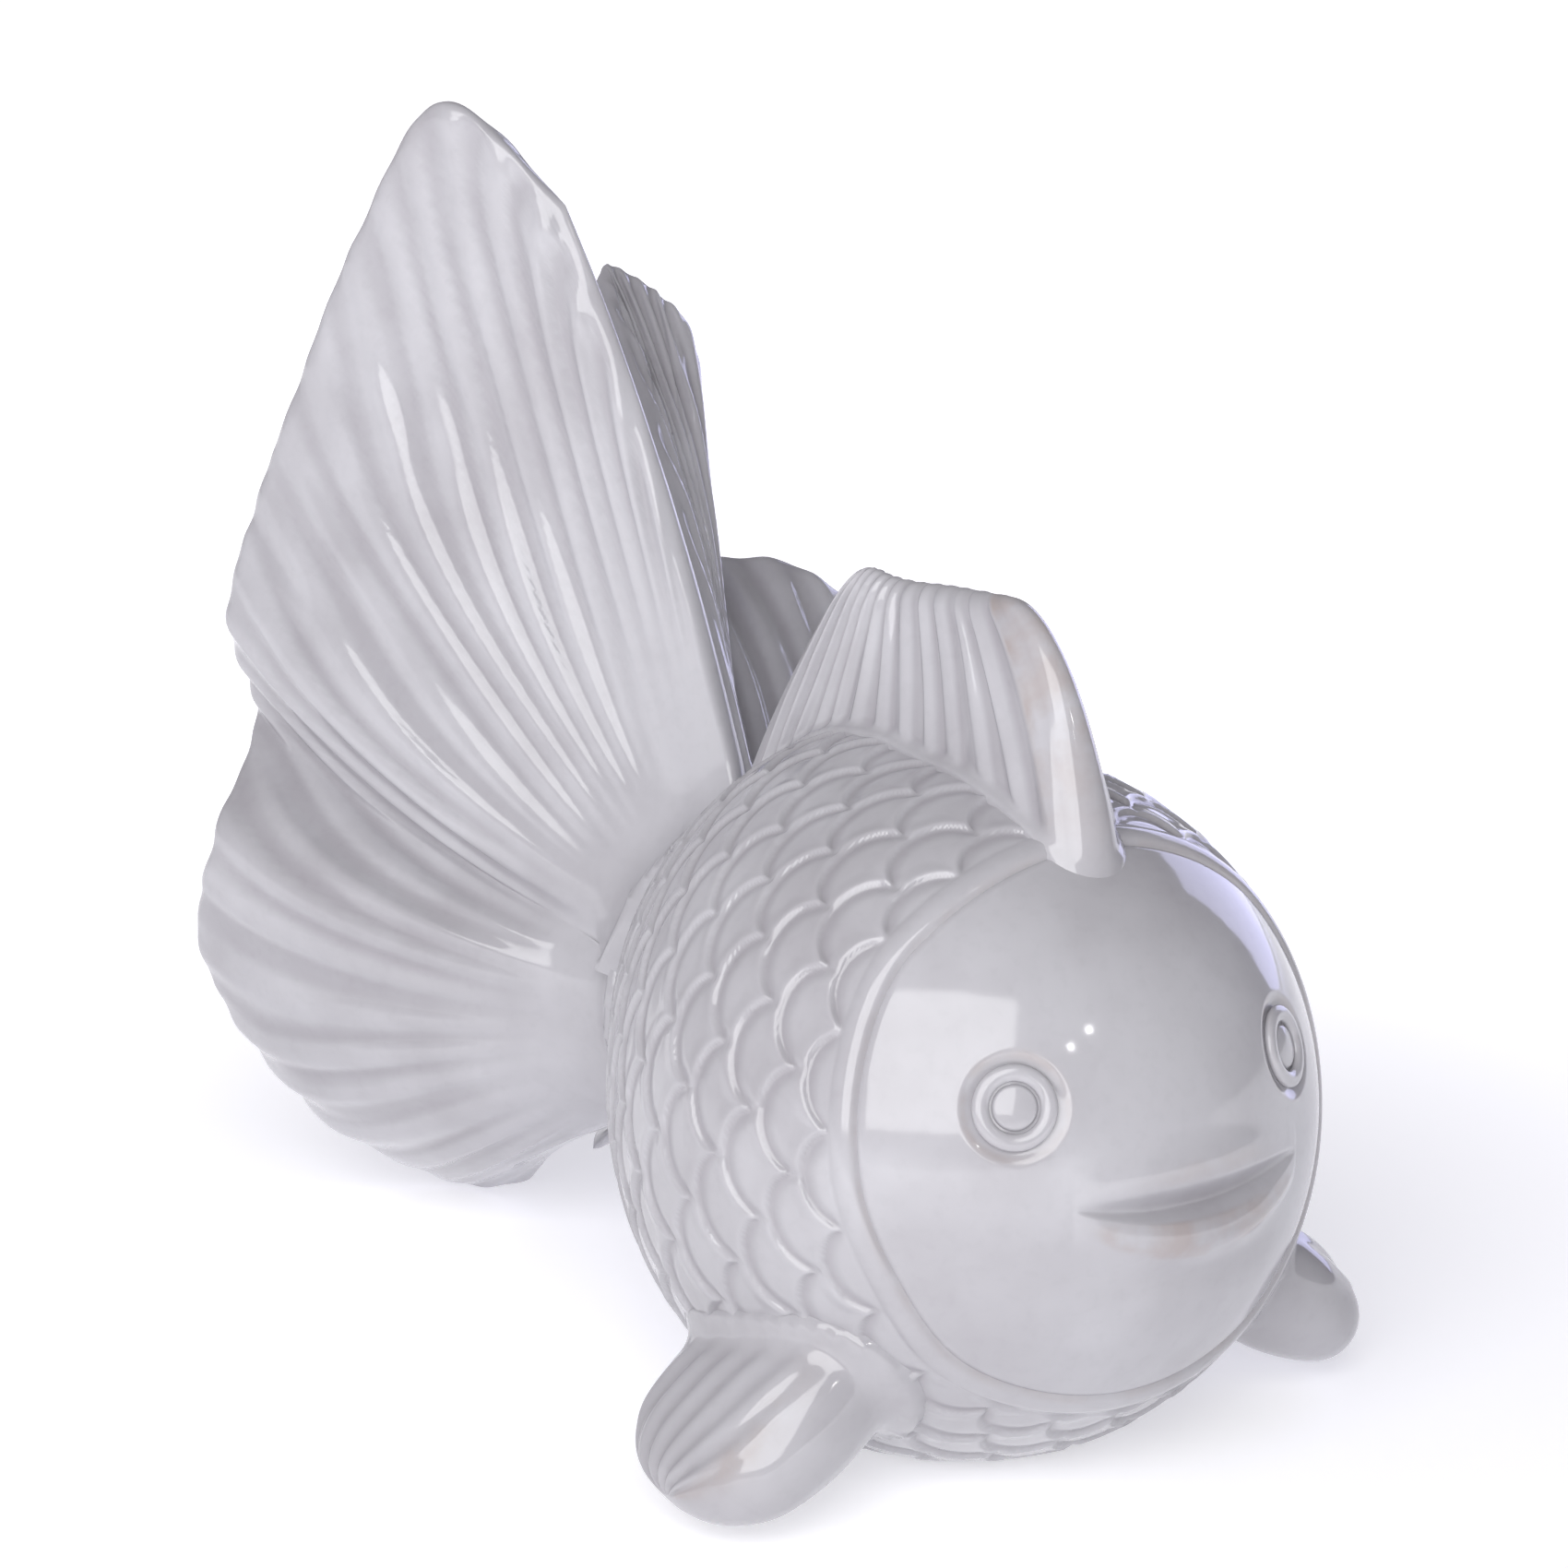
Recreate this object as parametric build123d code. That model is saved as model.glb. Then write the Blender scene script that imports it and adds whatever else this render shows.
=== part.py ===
from build123d import *
import math
import os

os.makedirs("parts", exist_ok=True)

# A hollow ceramic goldfish ornament. The fish looks along -Y, its right side is -X, and
# the origin is the middle of the flat foot that it stands on. All lengths are in mm.

# Body
globe_radius = 75.0
centre_height = 69.0
stem_reach = 105.0
wall_thickness = 5.0
foot_thickness = 6.0
vent_radius = 1.6
vent_offset = 16.0
luting_gap = 0.3

# Gill collar
collar_width = 4.6
collar_proud = 1.0
collar_root = 2.0

# Mouth
upper_lip_half_width = 33.0
upper_lip_height = 18.0
upper_lip_rise = 11.0
lower_lip_half_width = 21.0
lower_lip_height = 10.0
lower_lip_drop = 6.5
lip_centre_reach = 64.0
lip_depth = 13.0
mouth_half_width = 24.0
mouth_rise = 0.8
mouth_arch = 2.6
mouth_sag = 3.8
mouth_depth = 6.0

# Eyes
eye_side = 35.0
eye_rise = 21.8
recess_radius = 10.9
recess_depth = 2.4
ring_outer_radius = 9.0
ring_width = 3.2
ring_height = 2.6
ring_rounding = 1.0
pupil_clearance = 0.4
pupil_rim_height = 1.6
pupil_dome = 1.0

# Keys of the fins, and the slip fit in their blind sockets in the wall
key_radius = 4.0
tail_key_radius = 3.2
key_seat = 3.0
key_grip = 9.0
key_slip = 0.25

# Dorsal fin
dorsal_length = 75.0
dorsal_height = 178.5
dorsal_root_thickness = 21.0
dorsal_top_thickness = 9.6
dorsal_rear_thinning = 5.6
dorsal_rounding = 9.0

# Pectoral fins
pectoral_reach = 87.0
pectoral_chord = 46.0
pectoral_thickness = 38.0
pectoral_setback = 20.0
pectoral_root_height = 38.0
pectoral_key_height = 29.0
pectoral_key_spread = 18.0
pectoral_key_grip = 7.0

# Tail lobes
tail_reach = 210.0
tail_height = 270.0
right_spread = 73.5
left_spread = 81.0
lobe_root_thickness = 8.4
lobe_edge_thickness = 4.6
lobe_rounding = 6.0
rim_thickness = 1.2

# Ribs of the right tail lobe, which fan out from the root
rib_count = 31
rib_crowding = -4.0
rib_height = 1.1
rib_sharpness = 1.5
rib_phase = 0.7

# Where the front stations of the body lie, as shares of a quarter turn from the nose.
nose_turn_shares = (0.09, 0.18, 0.30, 0.44, 0.58, 0.72, 0.86, 1.0)
# The rear stations: place along the stem as a share of its reach, then the half width,
# rise and fall as shares of the globe radius.
stem_station_shares = (
    (0.179, 0.955, 1.020, 0.955),
    (0.357, 0.845, 0.985, 0.865),
    (0.536, 0.690, 0.850, 0.720),
    (0.714, 0.520, 0.670, 0.540),
    (0.857, 0.370, 0.520, 0.380),
    (1.000, 0.220, 0.400, 0.300),
)

# The collar's front line seen from the side: forward and up from the globe centre, as
# shares of the globe radius, from above the crown to below the chin.
collar_line_shares = (
    (0.520, 1.100),
    (0.522, 0.850),
    (0.512, 0.720),
    (0.507, 0.595),
    (0.547, 0.346),
    (0.600, 0.070),
    (0.667, -0.188),
    (0.712, -0.420),
    (0.780, -0.580),
    (0.840, -0.720),
)

# A fin's rays, from its front edge to its rear edge. Each has its root, bend and rim point.
# Dorsal: sideways, back and up as shares of the thickness, the length and the height.
dorsal_ray_shares = (
    ((0.0, -0.630, 0.690), (0.0, -0.465, 0.995), (0.0, -0.200, 1.000)),
    ((0.0, -0.500, 0.720), (0.0, -0.360, 0.920), (0.0, -0.120, 0.999)),
    ((0.0, -0.300, 0.740), (0.0, -0.180, 0.900), (0.0, 0.000, 0.997)),
    ((0.0, -0.050, 0.750), (0.0, 0.020, 0.890), (0.0, 0.120, 0.994)),
    ((0.0, 0.200, 0.750), (0.0, 0.200, 0.890), (0.0, 0.240, 0.990)),
    ((0.0, 0.450, 0.740), (0.0, 0.380, 0.880), (0.0, 0.340, 0.990)),
    ((0.0, 0.680, 0.720), (0.0, 0.560, 0.860), (0.0, 0.420, 0.994)),
    ((0.0, 0.880, 0.680), (0.0, 0.740, 0.835), (0.0, 0.470, 0.990)),
    ((0.0, 1.050, 0.635), (0.0, 0.870, 0.800), (0.0, 0.510, 0.975)),
)
dorsal_key_shares = (-0.08, -0.36)

# Tail: sideways, back and up as shares of the lobe's spread, the reach and the height.
right_ray_shares = (
    ((-0.02, 0.364, 0.411), (0.16, 0.445, 0.745), (0.36, 0.550, 0.948)),
    ((0.03, 0.379, 0.383), (0.17, 0.480, 0.740), (0.57, 0.650, 1.000)),
    ((0.05, 0.389, 0.361), (0.22, 0.554, 0.639), (0.67, 0.775, 0.880)),
    ((0.07, 0.400, 0.339), (0.41, 0.600, 0.561), (0.76, 0.857, 0.750)),
    ((0.09, 0.407, 0.319), (0.56, 0.636, 0.494), (0.81, 0.929, 0.642)),
    ((0.10, 0.414, 0.300), (0.71, 0.661, 0.431), (0.86, 0.964, 0.547)),
    ((0.11, 0.421, 0.281), (0.69, 0.714, 0.378), (0.72, 0.996, 0.450)),
    ((0.12, 0.429, 0.261), (0.87, 0.696, 0.311), (1.00, 0.918, 0.361)),
    ((0.12, 0.436, 0.244), (0.92, 0.714, 0.236), (0.96, 0.993, 0.256)),
    ((0.11, 0.443, 0.228), (0.92, 0.732, 0.144), (0.80, 1.000, 0.163)),
    ((0.10, 0.450, 0.211), (0.77, 0.750, 0.085), (0.53, 0.968, 0.072)),
    ((0.07, 0.457, 0.194), (0.46, 0.732, 0.058), (0.22, 0.907, 0.012)),
    ((0.02, 0.464, 0.178), (0.10, 0.679, 0.112), (0.04, 0.821, 0.002)),
)
left_ray_shares = (
    ((-0.02, 0.364, 0.411), (0.00, 0.496, 0.667), (0.20, 0.786, 0.832)),
    ((0.03, 0.379, 0.383), (0.04, 0.507, 0.644), (0.28, 0.815, 0.842)),
    ((0.04, 0.389, 0.361), (0.07, 0.518, 0.611), (0.36, 0.765, 0.822)),
    ((0.05, 0.400, 0.339), (0.12, 0.529, 0.567), (0.41, 0.725, 0.786)),
    ((0.06, 0.407, 0.319), (0.18, 0.543, 0.522), (0.43, 0.743, 0.690)),
    ((0.08, 0.414, 0.300), (0.27, 0.560, 0.472), (0.46, 0.768, 0.587)),
    ((0.10, 0.421, 0.281), (0.50, 0.554, 0.417), (0.74, 0.704, 0.573)),
    ((0.11, 0.429, 0.261), (0.69, 0.543, 0.367), (0.98, 0.664, 0.502)),
    ((0.11, 0.436, 0.244), (0.74, 0.589, 0.278), (1.00, 0.750, 0.383)),
    ((0.10, 0.443, 0.228), (0.79, 0.625, 0.189), (0.88, 0.821, 0.256)),
    ((0.09, 0.450, 0.211), (0.69, 0.650, 0.122), (0.64, 0.840, 0.150)),
    ((0.07, 0.457, 0.194), (0.42, 0.650, 0.072), (0.32, 0.800, 0.078)),
    ((0.02, 0.464, 0.178), (0.10, 0.621, 0.125), (0.05, 0.743, 0.045)),
)
# The key of a lobe follows one of its rays: which ray as a share of the way round, then
# where on the ray it starts and ends.
right_key_shares = (0.42, 0.07, 0.24)
left_key_shares = (0.55, 0.08, 0.25)

# Where the ribs start to rise and where they are full, as shares of a ray. Their middle
# level and how far they curl and wander, as shares of a rib.
rib_rise_shares = (0.05, 0.30)
rib_level_share = 0.36
rib_curl_share = 0.03
rib_wander_share = 0.30
lines_per_rib = 5

# The lines that a fin's skin is drawn through, as shares of a ray and of its rounded edge.
ray_grid_shares = (0.0, 0.12, 0.24, 0.36, 0.48, 0.60, 0.72, 0.84)
edge_grid_shares = (1.0, 0.62, 0.32, 0.12, 0.02, 0.0)

# Pectoral sections from root to tip: sideways as a share of the reach, up as a share of
# the root height, then the chord and thickness as shares of the full ones.
pectoral_section_shares = (
    (0.450, 1.00, 0.88, 0.94),
    (0.610, 0.83, 0.95, 1.00),
    (0.750, 0.62, 1.00, 0.97),
    (0.866, 0.44, 0.93, 0.80),
    (0.930, 0.34, 0.77, 0.62),
    (0.975, 0.27, 0.52, 0.42),
    (0.997, 0.23, 0.22, 0.20),
)
pectoral_slant_shares = (-0.12, 0.97, 0.20)
pectoral_taper_shares = (0.66, 0.34)

globe_centre = Vector(0, 0, centre_height)
pupil_radius = ring_outer_radius - ring_width - pupil_clearance
whole_length = 2 * (tail_reach + tail_height)


def oval_wire(along, half_width, rise, fall):
    """Return the outline of one body station, a ring round the stem's axis."""
    ring = []
    for step in range(28):
        turn = 2 * math.pi * step / 28
        tall = rise if math.sin(turn) > 0 else fall
        ring.append((half_width * math.cos(turn), along, centre_height + tall * math.sin(turn)))
    return Wire([Edge.make_spline(ring, periodic=True)])


def body_form(offset, stations):
    """Return the body's form as a solid, moved outward by the offset."""
    radius = globe_radius + offset
    wires = []
    for share in nose_turn_shares:
        turn = share * math.pi / 2
        size = radius * math.sin(turn)
        wires.append(oval_wire(-radius * math.cos(turn), size, size, size))
    for along, width, rise, fall in stations:
        half = width * globe_radius + offset
        up = rise * globe_radius + offset
        down = fall * globe_radius + offset
        wires.append(oval_wire(along * stem_reach, half, up, down))
    return Solid.make_loft(wires)


def above(height):
    """Return a block that holds everything over the given height."""
    block = Box(whole_length, whole_length, whole_length)
    return Pos(0, 0, height + whole_length / 2) * block


def collar(margin):
    """Return the gill collar, a band of a ball cut out by a bent strip, with a margin round it."""
    line = [(-out * globe_radius, centre_height + up * globe_radius) for out, up in collar_line_shares]
    front = [(y - margin, z) for y, z in line]
    rear = [(y + collar_width + margin, z) for y, z in line]
    face = Plane.YZ * make_face([Spline(*rear), Line(rear[-1], front[-1]),
                                 Spline(*front[::-1]), Line(front[0], rear[0])])
    strip = extrude(face, amount=globe_radius, both=True)
    ball = Pos(globe_centre) * Sphere(globe_radius + collar_proud + margin)
    core = Pos(globe_centre) * Sphere(globe_radius - collar_root)
    return (ball - core) & strip


def lip(half_width, height, rise):
    """Return one lip, a flattened ball set into the front of the globe."""
    form = scale(Sphere(1), by=(half_width, lip_depth, height))
    return Pos(0, -lip_centre_reach, centre_height + rise) * form


def mouth_slot():
    """Return the cutter of the open mouth, an almond shape pushed in from the front."""
    level = centre_height + mouth_rise
    left = (-mouth_half_width, level)
    right = (mouth_half_width, level)
    upper = ThreePointArc(left, (0, level + mouth_arch), right)
    lower = ThreePointArc(right, (0, level - mouth_sag), left)
    front = lip_centre_reach + lip_depth
    face = Plane.XZ.offset(front - mouth_depth) * make_face([upper, lower])
    return extrude(face, amount=2 * mouth_depth)


def eye_plane(side, depth):
    """Return the plane of an eye, this far under the cheek and facing out of it."""
    out = math.sqrt(globe_radius ** 2 - eye_side ** 2 - eye_rise ** 2)
    normal = Vector(side * eye_side, -out, eye_rise).normalized()
    return Plane(origin=globe_centre + normal * (globe_radius - depth), z_dir=normal)


def eye_recess(side):
    """Return the cutter of the round recess that an eye sits in."""
    plane = eye_plane(side, recess_depth)
    return extrude(plane * Circle(recess_radius), amount=2 * recess_depth)


def eye_ring(side):
    """Return the raised ring of an eye, standing on the floor of its recess."""
    sketch = Circle(ring_outer_radius) - Circle(ring_outer_radius - ring_width)
    ring = extrude(sketch, amount=ring_height)
    top = ring.edges().group_by(Axis.Z)[-1]
    ring = fillet(top, ring_rounding)
    return eye_plane(side, recess_depth) * ring


def pupil(side):
    """Return the pupil, a low domed disc inside the ring."""
    rim = pupil_rim_height
    ball_radius = (pupil_radius ** 2 + pupil_dome ** 2) / (2 * pupil_dome)
    disc = Pos(0, 0, (rim + pupil_dome) / 2) * Cylinder(pupil_radius, rim + pupil_dome)
    ball = Pos(0, 0, rim + pupil_dome - ball_radius) * Sphere(ball_radius)
    return eye_plane(side, recess_depth) * (disc & ball)


def catmull(rows, place):
    """Return the point at a place from 0 to 1 on a smooth line through the rows."""
    count = len(rows) - 1
    at = min(max(place, 0), 1) * count
    index = min(int(at), count - 1)
    part = at - index
    first = rows[index]
    last = rows[index + 1]
    before = rows[index - 1] if index > 0 else first * 2 - last
    after = rows[index + 2] if index + 2 <= count else last * 2 - first
    total = first * 2 + (last - before) * part
    total += (before * 2 - first * 5 + last * 4 - after) * part ** 2
    total += (first * 3 - before - last * 3 + after) * part ** 3
    return total / 2


def fin_rays(shares, sizes):
    """Return the root, bend and rim points of every ray in millimetres."""
    lines = []
    for knot in range(3):
        lines.append([Vector(*[s * size for s, size in zip(ray[knot], sizes)]) for ray in shares])
    return lines


def fin_point(rays, along, across):
    """Return the point of a fin's middle sheet, along its rays and across them."""
    root, bend, rim = [catmull(line, across) for line in rays]
    back = 1 - along
    return root * back ** 2 + bend * (2 * along * back) + rim * along ** 2


def fin_normal(rays, along, across):
    """Return the unit normal of a fin's middle sheet."""
    step = 0.004
    high = min(along + step, 1)
    low = max(along - step, 0)
    outward = fin_point(rays, high, across) - fin_point(rays, low, across)
    wide = fin_point(rays, along, min(across + step, 1)) - fin_point(rays, along, max(across - step, 0))
    return outward.cross(wide).normalized()


def round_off(near):
    """Return how thick a rounded edge is at a share of its width from the rim."""
    return math.sqrt(max(1 - (1 - min(near, 1)) ** 2, 0))


def grid_places(inner, edge_share, both):
    """Return the places of the grid lines, closer together where the edge is round."""
    high = [1 - edge_share * near for near in edge_grid_shares]
    low = [edge_share * near for near in edge_grid_shares[::-1]] if both else []
    floor = edge_share if both else -1
    middle = [place for place in inner if floor < place < 1 - edge_share]
    return low + middle + high


def fin_sheet(rays, half_thickness, along_edge, across_edge, across_lines):
    """Return a fin as a closed solid: two skins and the narrow rim between them."""
    along_places = grid_places(ray_grid_shares, along_edge, False)
    across_places = grid_places([n / across_lines for n in range(across_lines + 1)], across_edge, True)
    skins = []
    for side in (1, -1):
        rows = []
        for along in along_places:
            row = []
            for across in across_places:
                ends = min(across, 1 - across) / across_edge
                rounding = round_off((1 - along) / along_edge) * round_off(ends)
                half = max(half_thickness(along, across, side) * rounding, rim_thickness / 2)
                point = fin_point(rays, along, across)
                row.append(point + fin_normal(rays, along, across) * (side * half))
            rows.append(row)
        skins.append(Face.make_surface_from_array_of_points(rows))
    faces = list(skins)
    for edge in skins[0].edges():
        twin = min(skins[1].edges(), key=lambda other: (other @ 0.5 - edge @ 0.5).length)
        faces.append(Face.make_surface_from_curves(edge, twin))
    return Solid(Shell(faces))


def straight_key(start, end, radius):
    """Return a round bar from one point to another."""
    way = end - start
    plane = Plane(origin=start, z_dir=way.normalized())
    return extrude(plane * Circle(radius), amount=way.length)


def dorsal_keys(slip):
    """Return the dorsal fin's keys, which stand upright in the crown's wall."""
    keys = []
    for share in dorsal_key_shares:
        back = share * dorsal_length
        skin = Vector(0, back, centre_height + math.sqrt(globe_radius ** 2 - back ** 2))
        start = skin - Vector(0, 0, key_seat)
        end = skin + Vector(0, 0, key_grip)
        keys.append(straight_key(start, end, key_radius + slip))
    return keys


def dorsal_fin(skin):
    """Return the dorsal fin, trimmed to the crown, with its keys."""
    rays = fin_rays(dorsal_ray_shares, (dorsal_root_thickness, dorsal_length, dorsal_height))

    def half_thickness(along, across, side):
        full = dorsal_root_thickness + (dorsal_top_thickness - dorsal_root_thickness) * along
        return (full - dorsal_rear_thinning * across) / 2

    edge = dorsal_rounding / dorsal_length
    sheet = fin_sheet(rays, half_thickness, edge, edge, 2 * (len(dorsal_ray_shares) - 1))
    return (sheet - skin).fuse(*dorsal_keys(0))


def pectoral_sections(side):
    """Return the closed section wires of a pectoral fin, thick in front and thin behind."""
    chord_way = Vector(side * -pectoral_slant_shares[0], *pectoral_slant_shares[1:]).normalized()
    first = pectoral_section_shares[0]
    last = pectoral_section_shares[-1]
    span = Vector(side * (last[0] - first[0]) * pectoral_reach, 0, (last[1] - first[1]) * pectoral_root_height)
    thick_way = span.cross(chord_way).normalized()
    wires = []
    for out, up, chord, thickness in pectoral_section_shares:
        centre = Vector(side * out * pectoral_reach, -pectoral_setback, up * pectoral_root_height)
        ring = []
        for step in range(20):
            turn = 2 * math.pi * step / 20
            back = -math.cos(turn)
            taper = pectoral_taper_shares[0] - pectoral_taper_shares[1] * back
            point = centre + chord_way * (back * chord * pectoral_chord / 2)
            point += thick_way * (math.sin(turn) * taper * thickness * pectoral_thickness / 2)
            ring.append(point)
        wires.append(Wire([Edge.make_spline(ring, periodic=True)]))
    return wires


def pectoral_keys(side, slip):
    """Return a pectoral fin's keys, which stand square in the flank's wall."""
    keys = []
    for spread in (-pectoral_key_spread / 2, pectoral_key_spread / 2):
        back = spread - pectoral_setback
        drop = centre_height - pectoral_key_height
        out = math.sqrt(globe_radius ** 2 - back ** 2 - drop ** 2)
        skin = Vector(side * out, back, pectoral_key_height)
        normal = (skin - globe_centre).normalized()
        start = skin - normal * key_seat
        end = skin + normal * pectoral_key_grip
        keys.append(straight_key(start, end, key_radius + slip))
    return keys


def pectoral_fin(side, skin):
    """Return a pectoral fin, trimmed to the flank and flat where it rests."""
    form = Solid.make_loft(pectoral_sections(side))
    return ((form & above(0)) - skin).fuse(*pectoral_keys(side, 0))


def lobe_rays(side, shares, spread):
    """Return the rays of one tail lobe."""
    return fin_rays(shares, (side * spread, tail_reach, tail_height))


def tail_key(rays, place_shares, slip):
    """Return a lobe's key, which runs down one of its rays into the stem."""
    across, start, end = place_shares
    return straight_key(fin_point(rays, start, across), fin_point(rays, end, across), tail_key_radius + slip)


def rib_lift(along, across, face):
    """Return how far the ribs of a face stand off its mean skin, less than zero in a groove."""
    phase = rib_phase + face
    sway = math.sin(2 * math.pi * (2.6 * across + 0.5 * along) + phase)
    sway += math.sin(2 * math.pi * (6.3 * across - 0.4 * along) + 2 * phase) / 2
    turns = rib_count * (across + rib_curl_share * along ** 3) + rib_crowding * across ** 2
    wave = (0.5 + 0.5 * math.cos(2 * math.pi * (turns + rib_wander_share * sway))) ** rib_sharpness
    start, full = rib_rise_shares
    rise = min(max((along - start) / (full - start), 0), 1)
    return rib_height * (wave - rib_level_share) * rise


def tail_lobe(side, rays, place_shares, ribbed, skin):
    """Return a tail lobe, ribbed or smooth, trimmed to the stem, the middle plane and the ground."""
    def half_thickness(along, across, face):
        full = lobe_root_thickness + (lobe_edge_thickness - lobe_root_thickness) * along
        return full / 2 + (rib_lift(along, across, face) if ribbed else 0)

    edge = lobe_rounding / tail_reach
    ray_lines = 2 * (len(rays[0]) - 1)
    rib_lines = lines_per_rib * (rib_count + int(rib_crowding))
    sheet = fin_sheet(rays, half_thickness, edge, edge, rib_lines if ribbed else ray_lines)
    block = Box(whole_length, whole_length, whole_length)
    room = Pos(side * (luting_gap + whole_length) / 2, 0, whole_length / 2) * block
    return ((sheet & room) - skin).fuse(tail_key(rays, place_shares, 0))


def body_shell(tail_sockets):
    """Return the hollow body with its collar, lips, recesses and key sockets."""
    form = body_form(0, stem_station_shares).fuse(collar(0))
    form = form.fuse(lip(upper_lip_half_width, upper_lip_height, upper_lip_rise))
    form = form.fuse(lip(lower_lip_half_width, lower_lip_height, -lower_lip_drop))
    hollow = body_form(-wall_thickness, stem_station_shares[:-1]) & above(foot_thickness)
    cutters = [hollow, mouth_slot()] + tail_sockets
    for side in (-1, 1):
        cutters.append(eye_recess(side))
        cutters += pectoral_keys(side, key_slip)
    cutters += dorsal_keys(key_slip)
    vent = Pos(0, vent_offset, foot_thickness / 2) * Cylinder(vent_radius, 2 * foot_thickness)
    cutters.append(vent)
    shell = form & above(0)
    for cutter in cutters:
        shell = shell - cutter
    return shell


def main():
    """Build every piece and write one file for each."""
    right = lobe_rays(-1, right_ray_shares, right_spread)
    left = lobe_rays(1, left_ray_shares, left_spread)
    skin = body_form(luting_gap, stem_station_shares).fuse(collar(luting_gap))
    sockets = [tail_key(right, right_key_shares, key_slip), tail_key(left, left_key_shares, key_slip)]
    pieces = {
        "body_shell": body_shell(sockets),
        "dorsal_fin": dorsal_fin(skin),
        "pectoral_fin_right": pectoral_fin(-1, skin),
        "pectoral_fin_left": pectoral_fin(1, skin),
        "tail_lobe_right": tail_lobe(-1, right, right_key_shares, True, skin),
        "tail_lobe_left": tail_lobe(1, left, left_key_shares, False, skin),
        "eye_ring_right": eye_ring(-1),
        "eye_ring_left": eye_ring(1),
        "pupil_right": pupil(-1),
        "pupil_left": pupil(1),
    }
    for node, piece in pieces.items():
        print(node, len(piece.solids()), round(piece.volume), piece.is_valid)
        export_step(piece, "parts/" + node + ".step")


main()
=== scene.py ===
"""Looks of a white glazed stoneware fish figurine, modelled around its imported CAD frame."""
import logging
import math
from dataclasses import dataclass
from enum import Enum
from typing import Any

import bpy
import numpy as np
from mathutils import Matrix, Vector


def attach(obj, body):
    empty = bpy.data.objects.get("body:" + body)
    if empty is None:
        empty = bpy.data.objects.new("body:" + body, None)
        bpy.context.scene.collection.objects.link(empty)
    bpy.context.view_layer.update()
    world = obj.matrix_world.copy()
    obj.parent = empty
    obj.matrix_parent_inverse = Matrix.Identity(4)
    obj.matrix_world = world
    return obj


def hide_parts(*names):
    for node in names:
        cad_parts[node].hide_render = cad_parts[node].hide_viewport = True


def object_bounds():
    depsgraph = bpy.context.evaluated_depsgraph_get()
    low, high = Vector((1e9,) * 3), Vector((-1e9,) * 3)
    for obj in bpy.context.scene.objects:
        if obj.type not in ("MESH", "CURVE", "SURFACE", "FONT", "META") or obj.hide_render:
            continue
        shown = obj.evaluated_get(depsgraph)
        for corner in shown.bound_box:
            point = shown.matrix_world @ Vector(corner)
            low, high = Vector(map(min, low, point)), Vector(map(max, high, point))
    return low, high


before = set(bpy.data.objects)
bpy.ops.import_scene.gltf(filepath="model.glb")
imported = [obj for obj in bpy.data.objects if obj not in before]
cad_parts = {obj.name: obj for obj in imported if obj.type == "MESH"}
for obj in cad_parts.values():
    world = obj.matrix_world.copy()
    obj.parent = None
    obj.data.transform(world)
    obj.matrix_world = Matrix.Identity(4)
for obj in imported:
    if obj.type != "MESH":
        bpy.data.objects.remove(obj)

CAD_BOX = [list(corner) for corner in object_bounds()]
MM = 0.001
FULL_TURN = 2 * math.pi
BODY = "root"
# how dark each hollow is: pooled glaze and painted shade, one number a vertex
POOL_AND_SHADE = "glaze_pool_and_painted_shade"
WARM = "warm_break"
ROW = "row_arc"
TURN = "turn"
ALONG = "along"
ACROSS = "across"
AMOUNT = "relief_amount"
SIDE = "skin_side"
MATH = "ShaderNodeMath"
VECTOR = "ShaderNodeVectorMath"
MIX = "ShaderNodeMix"
RANGE = "ShaderNodeMapRange"
NOISE = "ShaderNodeTexNoise"
READ = "GeometryNodeInputNamedAttribute"
STORE = "GeometryNodeStoreNamedAttribute"
SOFT = {"interpolation_type": "SMOOTHSTEP"}
COLOUR = {"data_type": "RGBA"}
CLAMPED_SUM = {"operation": "MULTIPLY_ADD", "use_clamp": True}
# the nodes of the relief tables, each a node type with its settings
PLUS = (MATH, {"operation": "ADD"})
MINUS = (MATH, {"operation": "SUBTRACT"})
TIMES = (MATH, {"operation": "MULTIPLY"})
OVER = (MATH, {"operation": "DIVIDE"})
TIMES_PLUS = (MATH, {"operation": "MULTIPLY_ADD"})
POWER = (MATH, {"operation": "POWER"})
ROOT = (MATH, {"operation": "SQRT"})
SINE = (MATH, {"operation": "SINE"})
COSINE = (MATH, {"operation": "COSINE"})
FLOOR = (MATH, {"operation": "FLOOR"})
ROUND = (MATH, {"operation": "ROUND"})
LARGER = (MATH, {"operation": "MAXIMUM"})
OVERTAKES = (MATH, {"operation": "GREATER_THAN"})
LEFT_OVER = (MATH, {"operation": "FLOORED_MODULO"})
BLEND = (MIX, {})
SPREAD = (RANGE, {})
SOFT_SPREAD = (RANGE, SOFT)

Place = tuple[float, float, float]
Pair = tuple[float, float]
Table = tuple[tuple[float, ...], ...]
Rays = tuple[tuple[Place, ...], ...]
Grid = np.ndarray

log = logging.getLogger("fish")


def srgb(code: str) -> tuple[float, float, float, float]:
    """Turn an sRGB hex colour into a linear one.

    Args:
        code: six hex digits with a leading hash.
    Returns:
        Red, green, blue and alpha in linear light.
    """
    parts = [int(code[n:n + 2], 16) / 255 for n in (1, 3, 5)]
    return tuple(p / 12.92 if p <= 0.04045 else ((p + 0.055) / 1.055) ** 2.4 for p in parts) + (1.0,)


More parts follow.
